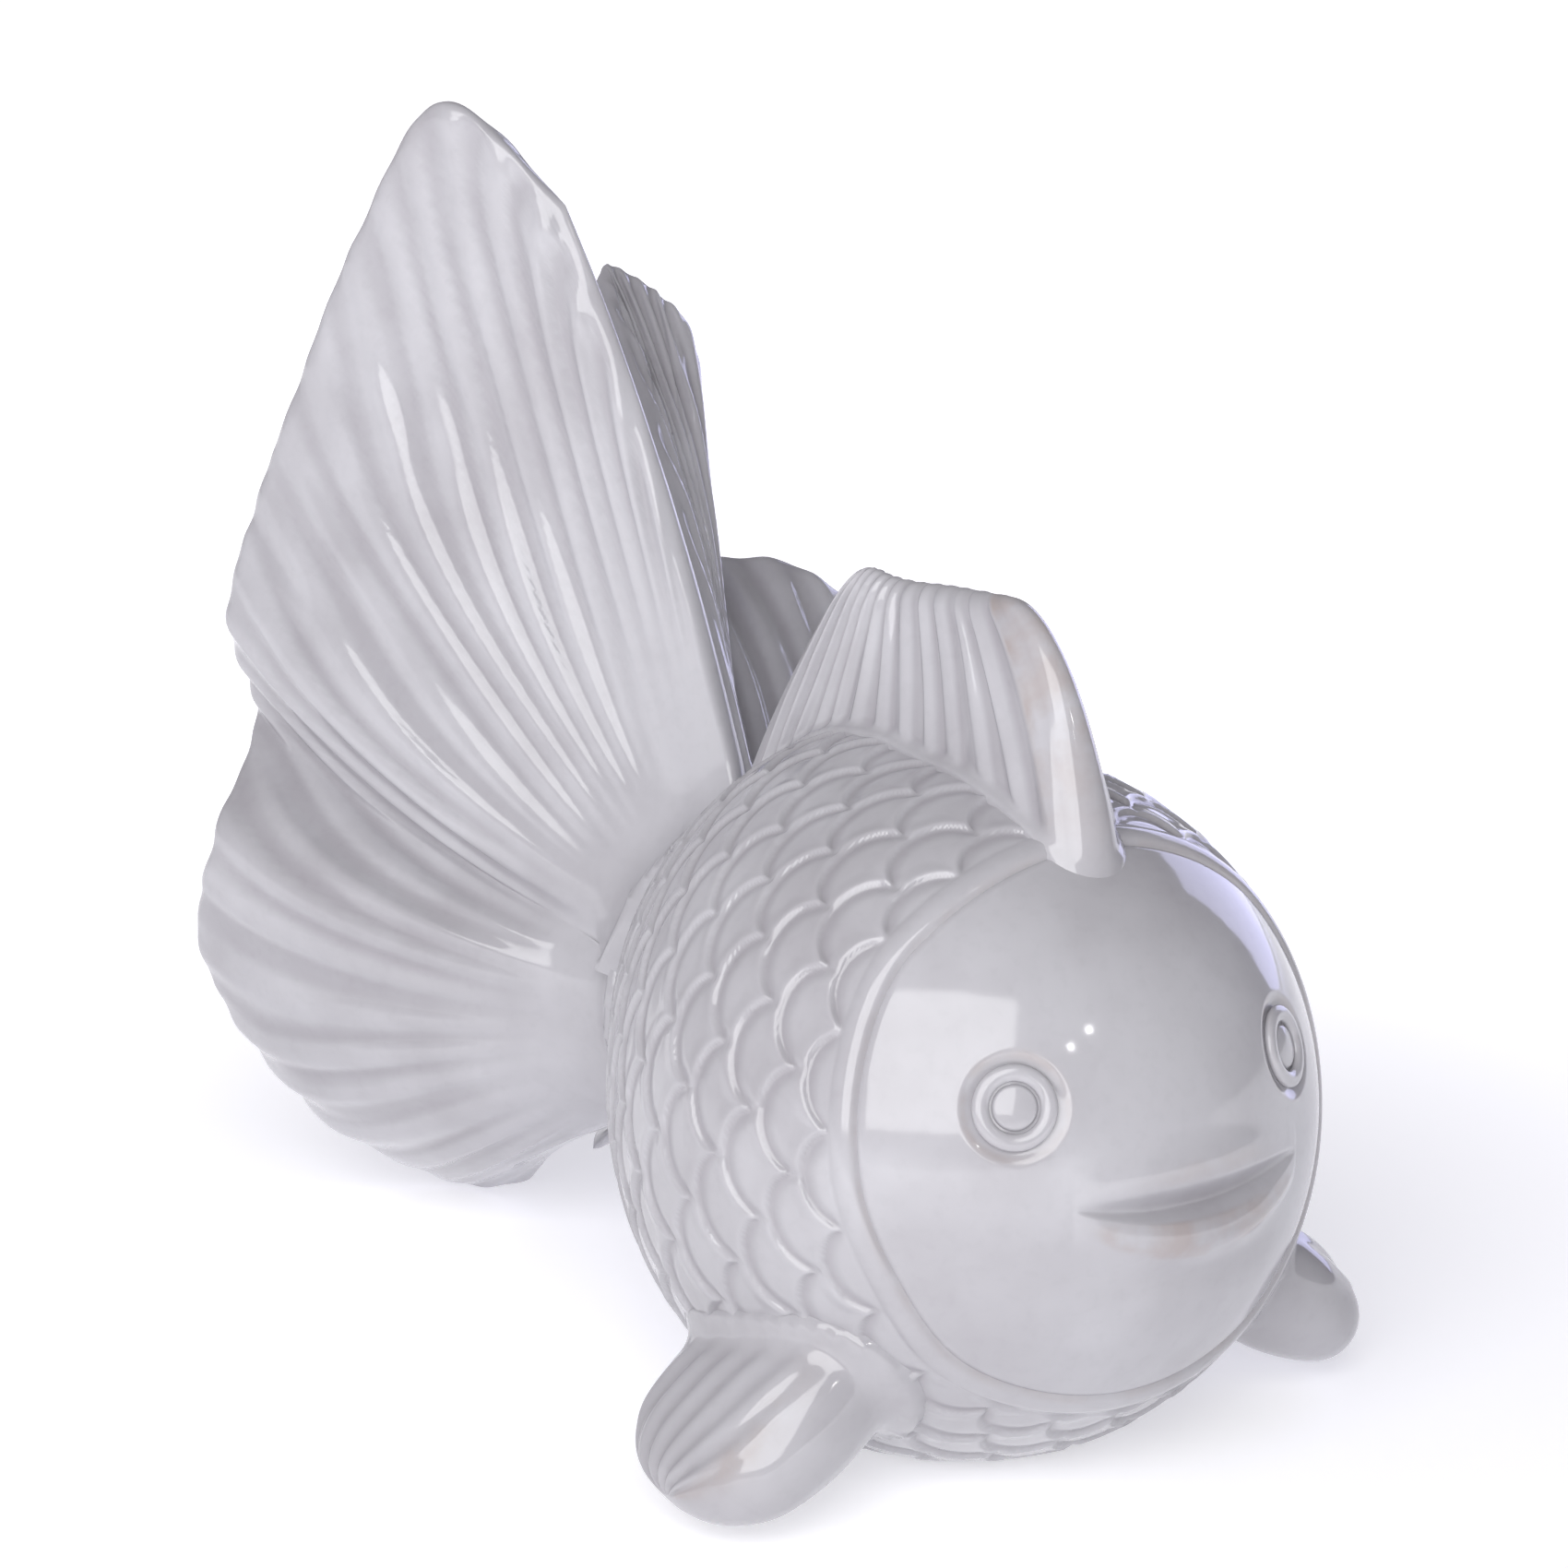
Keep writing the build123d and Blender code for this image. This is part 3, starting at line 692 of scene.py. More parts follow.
@dataclass
class ScaledCoat:
    """The scale-covered flanks behind the gill bead, cut into four closed sectors.

    Sizes in millimetres. A sector is its name, its edges in degrees round the body from the
    top, and its columns. The relief starts behind the bead and ends ahead of the stem's end,
    and it fades over the floor. The dish of a scale rises between two counts of groove widths.
    """

    globe: Globe
    around: int = 21
    row_spacing: float = 9.15
    arc_reach: float = 8.7
    first_row: float = 62.6
    half_width: float = 0.53
    stagger: float = 0.43
    rim_steepness: float = 0.47
    relief_height: float = 1.05
    dish_height: float = 0.55
    dish_rise: Pair = (0.75, 4.2)
    ridge_height: float = 0.45
    ridge_width: float = 3.4
    groove_width: float = 1.15
    bead_start: float = 0.8
    bead_width: float = 5.0
    bead_height: float = 0.9
    bead_round: float = 0.8
    bead_rows: int = 13
    tuck: float = 2.0
    tuck_depth: float = 1.7
    tuck_round: float = 1.4
    sink: float = 0.35
    relief_start: Pair = (-0.6, 1.6)
    relief_end: Pair = (-16.0, -4.0)
    relief_foot: Pair = (1.0, 5.0)
    row_lean: float = 0.8
    lean_fade: Pair = (90.0, 200.0)
    warm_rim: SoftLine = SoftLine(0.15, -0.6, 0.9)
    rows: int = 320
    row_crowding: float = 1.02
    sectors: tuple[tuple[str, float, float, int], ...] = (
        ("right_flank_scales", 24.0, 150.0, 300), ("belly_scales", 150.0, 210.0, 96),
        ("left_flank_scales", 210.0, 336.0, 300), ("back_scales", 336.0, 384.0, 100))

    def skin(self) -> tuple[Grid, dict[str, Grid]]:
        """Lay out the coat before its relief.

        Returns:
            A grid of points and the attributes of each point.
        """
        parts = [np.linspace(start, end, count, endpoint=False) for _, start, end, count in self.sectors]
        turns = np.radians(np.concatenate(parts))
        gill = self.globe.gill(turns)[None, :]
        collar = self.bead_width + self.tuck
        near = np.repeat(np.linspace(0, collar, self.bead_rows, endpoint=False)[:, None], len(turns), 1)
        share = np.linspace(0, 1, self.rows - self.bead_rows)[:, None] ** self.row_crowding
        rest = collar + share * (self.globe.end_arc - gill - self.bead_width)
        run = np.vstack([near, rest]) - self.tuck
        arc, turn = gill + run, np.repeat(turns[None, :], self.rows, 0)
        base, outward = self.globe.skin(arc, turn), self.globe.outward(arc, turn)
        outward[-1] = (0, 1, 0)
        # the bead stands up along the gill line, and its front edge tucks in under the face
        tucked = self.tuck_depth * np.clip(-run / self.tuck, 0, 1) ** self.tuck_round
        bead = np.clip((run + self.bead_start) / (self.bead_width + self.bead_start), 0, 1)
        lift = self.bead_height * np.sin(np.pi * bead) ** self.bead_round - tucked
        points = on_floor(base + outward * (lift - self.sink)[..., None])
        amount = smooth_step(*self.relief_start, run - self.bead_width)
        amount = amount * (1 - smooth_step(*self.relief_end, arc - self.globe.stem_arc))
        amount = amount * smooth_step(*self.relief_foot, base[..., 2])
        # the first rows follow the gill line, and the later ones straighten out
        middle = self.globe.gill(np.array([math.pi / 2]))[0]
        lean = self.row_lean * (gill - middle) * (1 - smooth_step(*self.lean_fade, arc))
        return points, {ROW: (arc - lean) * MM, TURN: turn / FULL_TURN, AMOUNT: amount,
                        WARM: self.warm_rim.at(run)}

    def relief(self) -> ReliefTree:
        """Write the rule of the overlapping scales as a node tree.

        Returns:
            The tree, ready to be pressed into the coat.
        """
        sizes = {"Scale count": self.around, "Row spacing": self.row_spacing * MM,
                 "Arc reach": self.arc_reach * MM, "First row": self.first_row * MM,
                 "Relief height": self.relief_height * MM, "Ridge width": self.ridge_width * MM,
                 "Groove width": self.groove_width * MM, "Half width": self.half_width,
                 "Stagger": self.stagger}
        made = ReliefTree(Relief.SCALES, sizes)
        made.read((ROW, TURN, AMOUNT))
        made.work_out((
            ("cell", TIMES, (TURN, "Scale count")),
            ("from row", MINUS, (ROW, "First row")),
            ("from rim", MINUS, ("from row", "Arc reach")),
            ("rim share", OVER, ("from rim", "Row spacing")),
            ("row before", FLOOR, ("rim share",)),
            ("row at", PLUS, ("row before", 1.0)),
            ("row after", PLUS, ("row before", 2.0)),
        ))
        # each row's rim is a run of round arcs, and every other row is shifted by half a scale
        for row in ("before", "at", "after"):
            made.work_out((
                ("odd", LEFT_OVER, (f"row {row}", 2.0)),
                ("shift", TIMES_PLUS, ("odd", 0.5, "Stagger")),
                ("place", MINUS, ("cell", "shift")),
                ("nearest", ROUND, ("place",)),
                ("off centre", MINUS, ("place", "nearest")),
                ("share", OVER, ("off centre", "Half width")),
                ("square", TIMES, ("share", "share")),
                ("left", MINUS, (1.0, "square")),
                ("bulge", ROOT, ("left",)),
                ("line", TIMES_PLUS, (f"row {row}", "Row spacing", "First row")),
                (f"rim {row}", TIMES_PLUS, ("bulge", "Arc reach", "line")),
                ("steep", TIMES_PLUS, ("square", -self.rim_steepness, 1.0)),
                ("lean", OVER, ("left", "steep")),
                (f"slant {row}", ROOT, ("lean",)),
            ))
        # a raised rim, a groove just inside it and a slow rise towards the rim of the scale in front
        made.work_out((
            ("inside", OVERTAKES, ("rim at", ROW)),
            ("own", BLEND, {0: "inside", 2: "rim after", 3: "rim at"}),
            ("prior", BLEND, {0: "inside", 2: "rim at", 3: "rim before"}),
            ("own slant", BLEND, {0: "inside", 2: "slant after", 3: "slant at"}),
            ("prior slant", BLEND, {0: "inside", 2: "slant at", 3: "slant before"}),
            ("to own", MINUS, ("own", ROW)),
            ("to prior", MINUS, (ROW, "prior")),
            ("off own rim", TIMES, ("to own", "own slant")),
            ("off prior rim", TIMES, ("to prior", "prior slant")),
            ("rise start", TIMES, ("Groove width", self.dish_rise[0])),
            ("rise end", TIMES, ("Groove width", self.dish_rise[1])),
            ("drop", SOFT_SPREAD, {"Value": "off own rim", "From Min": 0.0, "From Max": "Groove width",
                                   "To Min": 1.0, "To Max": 0.0}),
            ("climb", SOFT_SPREAD, {"Value": "off own rim", "From Min": "rise start",
                                    "From Max": "rise end", "To Min": 0.0, "To Max": self.dish_height}),
            ("ridge", SOFT_SPREAD, {"Value": "off prior rim", "From Min": 0.0, "From Max": "Ridge width",
                                    "To Min": self.ridge_height, "To Max": 0.0}),
            ("dome", PLUS, ("climb", "ridge")),
            ("form", LARGER, ("dome", "drop")),
            ("centred", MINUS, ("form", 0.5)),
            ("masked", TIMES, ("centred", AMOUNT)),
            ("height", TIMES, ("masked", "Relief height")),
            # the groove inside each rim is darker: pooled glaze and painted shade
            ("depth", SPREAD, {"Value": "form", "From Min": 0.5, "From Max": 0.0}),
            ("pool_and_shade", TIMES, ("depth", AMOUNT)),
        ))
        made.close("height", "pool_and_shade")
        return made

    def build(self, glaze: bpy.types.Material) -> list[bpy.types.Object]:
        """Press the scales and cut the coat into its sectors.

        Args:
            glaze: the body's glaze.
        Returns:
            The four pieces.
        """
        points, values = self.skin()
        rows, columns = points.shape[:2]
        whole = make_object("coat", points.reshape(-1, 3), quads(rows, columns, True),
                            {key: grid.reshape(-1) for key, grid in values.items()})
        flip_outward(whole)
        self.relief().press(whole, glaze)
        count = rows * columns
        placed, normal, pool_and_shade = np.empty(count * 3), np.empty(count * 3), np.empty(count)
        whole.data.vertices.foreach_get("co", placed)
        whole.data.vertex_normals.foreach_get("vector", normal)
        whole.data.attributes[POOL_AND_SHADE].data.foreach_get("value", pool_and_shade)
        placed = on_floor(placed.reshape(rows, columns, 3) / MM)
        normal, pool_and_shade = normal.reshape(rows, columns, 3), pool_and_shade.reshape(rows, columns)
        made, start = [], 0
        for name, _, _, width in self.sectors:
            picked = np.arange(start, start + width + 1) % columns
            made.append(self.sector(name, placed[:, picked], normal[:, picked], pool_and_shade[:, picked],
                                    values[WARM][:, picked]))
            finish_piece(made[-1], glaze, ("body_shell",))
            start += width
        bpy.data.objects.remove(whole)
        return made

    def sector(self, name: str, points: Grid, normals: Grid, pool_and_shade: Grid, warm: Grid) -> bpy.types.Object:
        """Close one sector of the coat towards the middle of the globe.

        Args:
            name: the piece's name.
            points: the sector's grid of points.
            normals: the coat's normals there, kept so that no seam shows.
            pool_and_shade: the glaze depth there, which also sets the painted shade in the grooves.
            warm: where the clay shows through.
        Returns:
            The closed piece.
        """
        rows, columns = points.shape[:2]
        last = rows * columns
        vertices = np.vstack([points.reshape(-1, 3), [self.globe.centre]])
        faces = [face[::-1] for face in quads(rows - 1, columns, False)]
        numbers = np.arange(last).reshape(rows, columns)
        end = int(numbers[-1, 0])
        faces += [(end, int(b), int(a)) for a, b in zip(numbers[-2, :-1], numbers[-2, 1:])]
        loop = [*numbers[0, :], *numbers[1:-1, -1], end, *numbers[1:-1, 0][::-1]]
        faces += [(int(a), int(b), last) for a, b in zip(loop, loop[1:] + loop[:1])]
        # all of the last row is the tip of the end cap, so one vertex stands for it
        keep = np.ones(last + 1, dtype=bool)
        keep[numbers[-1, 1:]] = False
        renumber = np.cumsum(keep) - 1
        faces = [tuple(int(renumber[n]) for n in face) for face in faces]
        made = make_object(name, vertices[keep], faces, {
            POOL_AND_SHADE: np.append(pool_and_shade.reshape(-1), 0)[keep], WARM: np.append(warm.reshape(-1), 0)[keep]})
        smooth = np.vstack([normals.reshape(-1, 3), [(0, 0, 1)]])[keep]
        made.data.normals_split_custom_set_from_vertices(smooth.tolist())
        return made


@dataclass
class Face:
    """The smooth head in front of the gill bead, with its mouth and eye hollows.

    Sizes in millimetres. The lower lip's place and width are each the value at the mouth's
    corners and how much it grows towards the middle.
    """

    globe: Globe
    level: float = -0.55
    edge_gap: float = 0.2
    edge_drop: float = 1.7
    edge_round: float = 2.2
    mouth_centre: float = 4.0
    mouth_half_width: float = 30.0
    mouth_depth: float = 3.5
    depth_fade: float = 0.9
    slit: float = 0.3
    sill_round: float = 1.5
    crease_corner: float = 1.2
    crease_sag: float = 3.8
    upper_height: float = 6.4
    upper_fade: float = 0.6
    upper_swell: float = 1.0
    upper_place: float = 1.25
    upper_width: float = 4.5
    lower_height: float = 1.7
    lower_fade: float = 0.8
    lower_swell: float = 2.6
    lower_place: Pair = (3.4, 2.0)
    lower_width: Pair = (2.6, 2.2)
    chin_fold: SoftLine = SoftLine(-1.1, -14.5, 3.8)
    recess_radius: float = 10.1
    recess_depth: float = 1.2
    recess_slope: Pair = (-1.8, 1.3)
    # painted shade, with some pooled glaze, in the eye hollow, the tuck under the bead and the mouth cleft
    eye_pool_and_shade: SoftLine = SoftLine(0.3, 8.9, 0.9)
    edge_pool_and_shade: SoftRise = SoftRise(0.5, -0.6, -1.7)
    mouth_pool_and_shade: SoftRise = SoftRise(0.75, -1.2, -4.6)
    eye_warm: SoftLine = SoftLine(0.32, 10.4, 0.8)
    lip_warm: SoftRise = SoftRise(0.4, 0.6, 1.4)
    rows: int = 135
    edge_rows: int = 18
    edge_share: float = 0.028
    columns: int = 420

    def mouth(self, side: Grid, up: Grid) -> Grid:
        """Return how far the mouth and lips stand off the globe.

        Args:
            side: distance from the middle plane, in millimetres.
            up: height over the globe's centre, in millimetres.
        Returns:
            Offsets along the globe's normal.
        """
        out = (side - self.mouth_centre) / self.mouth_half_width
        fade = np.clip(1 - out ** 2, 0, 1)
        over = up - (self.crease_corner - self.crease_sag * fade)
        open_up = self.upper_height * fade ** self.upper_fade + self.slit
        open_down = self.lower_height * fade ** self.lower_fade + self.slit
        roof = (1 - smooth_step(0.0, 1.0, over / open_up)) * (over >= 0)
        sill = np.clip(1 + over / open_down, 0, 1) ** self.sill_round * (over < 0)
        cleft = -self.mouth_depth * fade ** self.depth_fade * (roof + sill)
        upper = self.upper_swell * soft_line(over, open_up * self.upper_place, self.upper_width)
        low_place = -self.lower_place[0] - self.lower_place[1] * fade
        low_width = self.lower_width[0] + self.lower_width[1] * fade
        lower = self.lower_swell * soft_line(over, low_place, low_width)
        lips = upper * fade ** self.upper_fade + lower * fade ** self.lower_fade
        return cleft + lips + self.chin_fold.at(over) * fade

    def to_eye(self, outward: Grid) -> Grid:
        """Return how far points of the globe lie from the nearer eye.

        Args:
            outward: unit vectors from the globe's centre.
        Returns:
            Distances along the globe, in millimetres.
        """
        shares = [np.sum(outward * self.globe.eye_way(side), -1) for side in (-1, 1)]
        return np.arccos(np.clip(np.maximum(*shares), -1, 1)) * self.globe.radius

    def build(self, glaze: bpy.types.Material) -> bpy.types.Object:
        """Make the face as one closed piece.

        Args:
            glaze: the body's glaze.
        Returns:
            The face.
        """
        columns = self.columns
        turns = np.linspace(0, FULL_TURN, columns, endpoint=False)
        reach = self.globe.gill(turns)[None, :] - self.edge_gap
        even = np.linspace(0, 1, self.rows + 1)[1:]
        fine = np.linspace(1 - self.edge_share, 1, self.edge_rows)
        share = np.concatenate([even[even < 1 - self.edge_share], fine])
        arc = share[:, None] * reach
        base = self.globe.skin(arc, np.repeat(turns[None, :], len(share), 0))
        outward = unit(base - self.globe.centre)
        drop = -self.edge_drop * (1 - round_off((reach - arc) / self.edge_round))
        mouth = self.mouth(base[..., 0], base[..., 2] - self.globe.centre_height)
        near = self.to_eye(outward)
        recess = self.recess_depth * (1 - smooth_step(*self.recess_slope, near - self.recess_radius))
        points = on_floor(base + outward * (self.level + drop + mouth - recess)[..., None])
        # darker at the eye hollow's edge, in the tuck under the bead and in the mouth cleft: painted shade,
        # with some pooled glaze
        pool_and_shade = self.eye_pool_and_shade.at(near) + self.edge_pool_and_shade.at(drop) + self.mouth_pool_and_shade.at(mouth)
        warm = self.eye_warm.at(near) + self.lip_warm.at(mouth)
        pole = self.globe.skin(np.zeros(1), np.zeros(1))[0]
        pole[1] -= self.level + float(self.mouth(np.zeros(1), np.zeros(1))[0])
        vertices = np.vstack([[pole], points.reshape(-1, 3), [self.globe.centre]])
        last = len(vertices) - 1
        faces = fan(1, columns, 0) + [face[::-1] for face in quads(len(share), columns, True, 1)]
        faces += [face[::-1] for face in fan(last - columns, columns, last)]
        flat = [np.append(np.insert(grid.reshape(-1), 0, grid[0, 0]), 0) for grid in (pool_and_shade, warm)]
        pool_and_shade, warm = np.clip(flat, 0, 1)
        made = make_object("face", vertices, faces, {POOL_AND_SHADE: pool_and_shade, WARM: warm})
        flip_outward(made)
        finish_piece(made, glaze, ("body_shell",))
        return made


@dataclass
class Eye:
    """One moulded eye: a soft ring round a low pupil, in a shallow hollow.

    Sizes in millimetres. The glaze pools, and shade is painted, between two heights, as shares of the
    ring's or pupil's.
    """

    name: str
    side: int
    globe: Globe
    floor_depth: float = 2.5
    ring_outer: float = 8.4
    ring_inner: float = 5.0
    ring_height: float = 2.2
    ring_round: float = 0.85
    ring_rows: int = 28
    ring_pool_and_shade: Pair = (0.95, 0.45)
    ring_warm: float = 0.15
    pupil_radius: float = 4.6
    pupil_height: float = 1.35
    pupil_dome: float = 0.55
    pupil_hub: float = 0.25
    pupil_rows: int = 20
    pupil_start: float = 0.12
    pupil_foot: float = 1.005
    pupil_pool_and_shade: Pair = (1.0, 0.6)
    pupil_ground: float = 0.12
    pupil_warm: float = 0.10
    shoulder_width: float = 0.16
    shoulder_drop: float = 0.72
    pool_and_shade_weight: float = 0.25
    segments: int = 96

    def turned(self, profile: list[Pair]) -> tuple[Grid, list, Grid]:
        """Turn a profile about the eye's axis.

        Args:
            profile: (radius, height) pairs from the pole or the ring's inner foot outward.
        Returns:
            The points, the faces and each point's height.
        """
        outward = self.globe.eye_way(self.side)
        aside = unit(np.cross(outward, (0.0, 0.0, 1.0)))
        upward = np.cross(aside, outward)
        centre = self.globe.centre + outward * (self.globe.radius - self.floor_depth)
        angles = np.linspace(0, FULL_TURN, self.segments, endpoint=False)
        spokes = np.cos(angles)[:, None] * aside + np.sin(angles)[:, None] * upward
        rows = [centre + radius * spokes + height * outward for radius, height in profile]
        heights = np.repeat([height for _, height in profile], self.segments)
        return np.vstack(rows), quads(len(profile), self.segments, True), heights

    def ring(self) -> bpy.types.Object:
        """Make the raised ring as a closed rounded loop.

        Returns:
            The ring.
        """
        middle, half = (self.ring_outer + self.ring_inner) / 2, (self.ring_outer - self.ring_inner) / 2
        turn = np.linspace(0, FULL_TURN, self.ring_rows, endpoint=False)
        bulge = np.sign(np.sin(turn)) * np.abs(np.sin(turn)) ** self.ring_round
        profile = list(zip(middle - half * np.cos(turn), self.ring_height / 2 * (1 + bulge)))
        points, faces, heights = self.turned(profile)
        count = self.segments
        rim = len(points) - count
        faces += [(rim + n, rim + (n + 1) % count, (n + 1) % count, n) for n in range(count)]
        # the ring is darker towards its foot: painted shade, with some pooled glaze
        pool_and_shade = self.pool_and_shade_weight * smooth_step(*self.ring_pool_and_shade, heights / self.ring_height)
        return make_object(f"moulded_eye_ring_{self.name}", points, faces,
                           {POOL_AND_SHADE: pool_and_shade, WARM: pool_and_shade * self.ring_warm})

    def pupil(self) -> bpy.types.Object:
        """Make the low pupil with its softly rounded shoulder.

        Returns:
            The pupil.
        """
        share = np.linspace(self.pupil_start, 1, self.pupil_rows)
        fall = self.shoulder_drop * (1 - round_off((1 - share) / self.shoulder_width))
        top = self.pupil_height * (1 - fall) + self.pupil_dome * (1 - share ** 2)
        profile = [(self.pupil_hub, self.pupil_height + self.pupil_dome)]
        profile += zip(self.pupil_radius * share, top)
        profile += [(self.pupil_radius * self.pupil_foot, 0.0), (self.pupil_radius / 2, 0.0),
                    (self.pupil_hub, 0.0)]
        points, faces, heights = self.turned(profile)
        count = self.segments
        faces += [tuple(range(count))[::-1], tuple(range(len(points) - count, len(points)))]
        # the pupil is darker towards its foot, painted shade with some pooled glaze, and a little greyer
        # all over
        pool_and_shade = self.pool_and_shade_weight * smooth_step(*self.pupil_pool_and_shade, heights / self.pupil_height)
        return make_object(f"moulded_pupil_{self.name}", points, faces,
                           {POOL_AND_SHADE: pool_and_shade + self.pupil_ground, WARM: pool_and_shade * self.pupil_warm})

    def build(self, glaze: bpy.types.Material) -> list[bpy.types.Object]:
        """Make, turn outward and dress the ring and the pupil.

        Args:
            glaze: the eye's glaze.
        Returns:
            The two pieces.
        """
        made = [self.ring(), self.pupil()]
        for piece, kind in zip(made, ("eye_ring", "pupil")):
            flip_outward(piece)
            finish_piece(piece, glaze, (f"{kind}_{self.name}",))
        return made


@dataclass
class RibbedFin:
    """A closed sheet of clay whose rays run from its root to its rim.

    Sizes in millimetres. Places along a ray and across the fin are shares from 0 to 1. A
    sway is its name, its turns across and along the fin, and its part of the layer's phase.
    """

    name: str
    globe: Globe
    rays: Rays
    reach: Place
    root_thickness: float
    edge_thickness: float
    rear_thinning: float = 0.0
    front_thinning: float = 0.0
    front_band: Pair = (0.04, 0.30)
    along_round: float = 0.0286
    across_round: float = 0.03
    flare: float = 9.0
    foot_round: float = 0.03
    corner_cut: float = 0.07
    corner_width: float = 0.10
    rib_count: float = 36.0
    rib_crowding: float = -4.0
    rib_depth: float = 1.65
    rib_sharpness: float = 1.3
    rib_curl: float = 0.03
    rib_drift: float = 0.15
    drift_fade: float = 1.7
    rib_wander: float = 0.30
    rib_mean: float = 0.36
    rib_start: Pair = (0.16, 0.52)
    rib_edges: Pair = (0.0, 0.95)
    rib_blend: float = 0.04
    rib_weights: Pair = (0.55, 1.25)
    root_clear: float = 0.9
    floor_clear: Pair = (1.0, 9.0)
    rim_clear: float = 1.5
    rim_fade: float = 0.35
    rim_band: Pair = (0.80, 0.98)
    rim_wave: float = 0.25
    wave_start: float = 0.55
    swell_size: Pair = (0.55, 1.6)
    swell_range: Pair = (0.3, 0.7)
    sways: tuple[tuple[str, float, float, float], ...] = (
        ("slow", 2.6, 0.5, 1.0), ("quick", 6.3, -0.4, 2.0))
    fine_ribs: Pair = (2.37, 0.05)
    pool_and_shade_range: Pair = (-0.1, 1.3)
    warm_edge: float = 0.0
    warm_line: Pair = (0.85, 0.012)
    warm_band: float = 0.7
    warm_root: Pair = (0.0, 0.4)
    along_lines: int = 140
    across_lines: int = 260
    edge_lines: int = 8
    phase: float = 1.0

    def places(self, count: int, edge: float, both: bool) -> Grid:
        """Return grid places that crowd towards the rounded edges.

        Args:
            count: the number of even places between the edges.
            edge: the share taken up by a rounded edge.
            both: whether the start is rounded too, and not only the end.
        Returns:
            Places from 0 to 1.
        """
        near = edge * (1 - np.cos(np.linspace(0, math.pi / 2, self.edge_lines)))
        low = near[:-1] if both else np.zeros(0)
        middle = np.linspace(edge if both else 0.0, 1 - edge, count)
        return np.concatenate([low, middle, 1 - near[::-1][1:]])

    def sheet(self) -> tuple[Grid, Grid, Grid, Grid]:
        """Work out the middle sheet.

        Returns:
            Places along, places across, points and unit normals.
        """
        knots = np.array(self.rays) * np.array(self.reach)
        along = self.places(self.along_lines, self.along_round, False)
        across = self.places(self.across_lines, self.across_round, True)
        root, bend, rim = (catmull(knots[:, n], across)[None] for n in range(3))
        corner = np.clip(1 - np.minimum(across, 1 - across) / self.corner_width, 0, 1)
        part = along[:, None, None] * (1 - self.corner_cut * corner ** 2)[None, :, None]
        points = root * (1 - part) ** 2 + 2 * part * (1 - part) * bend + part ** 2 * rim
        ways = np.gradient(points, along, axis=0), np.gradient(points, across, axis=1)
        return along, across, points, unit(np.cross(*ways))

    def half_thickness(self, along: Grid, across: Grid, gap: Grid) -> Grid:
        """Return half the clay's thickness, rounded off at the rim and spread at the root.

        Args:
            along: places along the rays.
            across: places across the fin.
            gap: how far each place stands off the body.
        Returns:
            Half thicknesses in millimetres.
        """
        full = self.root_thickness + (self.edge_thickness - self.root_thickness) * along
        full = full - self.rear_thinning * across
        full = full - self.front_thinning * (1 - smooth_step(*self.front_band, across))
        ends = np.minimum(across, 1 - across)
        rim = round_off((1 - along) / self.along_round)
        foot = fillet(gap, self.flare) * round_off(ends / self.foot_round)
        return (full / 2 * round_off(ends / self.across_round) + foot) * rim

    def rib_amount(self, along: Grid, across: Grid, middle: Grid) -> Grid:
        """Return how strongly the ribs are pressed in, from 0 to 1.

        Args:
            along: places along the rays.
            across: places across the fin.
            middle: points of the middle sheet.
        Returns:
            The strength at each point.
        """
        low, high = self.rib_edges
        amount = smooth_step(*self.rib_start, along) * smooth_step(low, low + self.rib_blend, across)
        amount = amount * (1 - smooth_step(high - self.rib_blend, high, across))
        amount = amount * round_off((1 - along) / (self.along_round * self.rim_clear))
        amount = amount * (1 - self.rim_fade * smooth_step(*self.rim_band, along))
        amount = amount * smooth_step(0.0, self.flare * self.root_clear, self.globe.gap(middle))
        return amount * smooth_step(*self.floor_clear, middle[..., 2])

    def skin(self) -> tuple[Grid, list, dict[str, Grid]]:
        """Close the sheet into a solid skin.

        Returns:
            Points, faces and attributes.
        """
        along, across, middle, normal = self.sheet()
        along, across = np.meshgrid(along, across, indexing="ij")
        half = self.half_thickness(along, across, self.globe.gap(middle))
        rib = self.rib_count * (across + self.rib_curl * along ** 3) + self.rib_crowding * across ** 2
        wave = self.rim_wave * np.cos(FULL_TURN * rib + self.phase)
        middle = middle + normal * (wave * smooth_step(self.wave_start, 1.0, along))[..., None]
        front, rear = middle + normal * half[..., None], middle - normal * half[..., None]
        # the two sides share the vertices of the rim, where the clay's thickness is nothing
        rows, columns = half.shape
        inner = np.zeros((rows, columns), dtype=bool)
        inner[:-1, 1:-1] = True
        rear_at = np.arange(rows * columns).reshape(rows, columns)
        rear_at[inner] = rows * columns + np.arange(inner.sum())
        points = on_floor(np.vstack([front.reshape(-1, 3), rear[inner]]))
        faces = quads(rows, columns, False)
        faces += [tuple(int(rear_at.flat[n]) for n in face[::-1]) for face in faces]
        for n in range(columns - 1):
            root = (n + 1, n, int(rear_at[0, n]), int(rear_at[0, n + 1]))
            faces.append(tuple(dict.fromkeys(root)))
        edge = soft_line(across, self.across_round * self.warm_line[0], self.warm_line[1])
        edge = edge + 1 - smooth_step(self.across_round * self.warm_band, self.across_round, across)
        warm = self.warm_edge * edge * smooth_step(*self.warm_root, along)
        values = {ALONG: along, ACROSS: across, AMOUNT: self.rib_amount(along, across, middle),
                  WARM: warm, SIDE: np.ones_like(half)}
        flat = {}
        for key, grid in values.items():
            back = -grid[inner] if key == SIDE else grid[inner]
            flat[key] = np.concatenate([grid.reshape(-1), back])
        return points, faces, flat

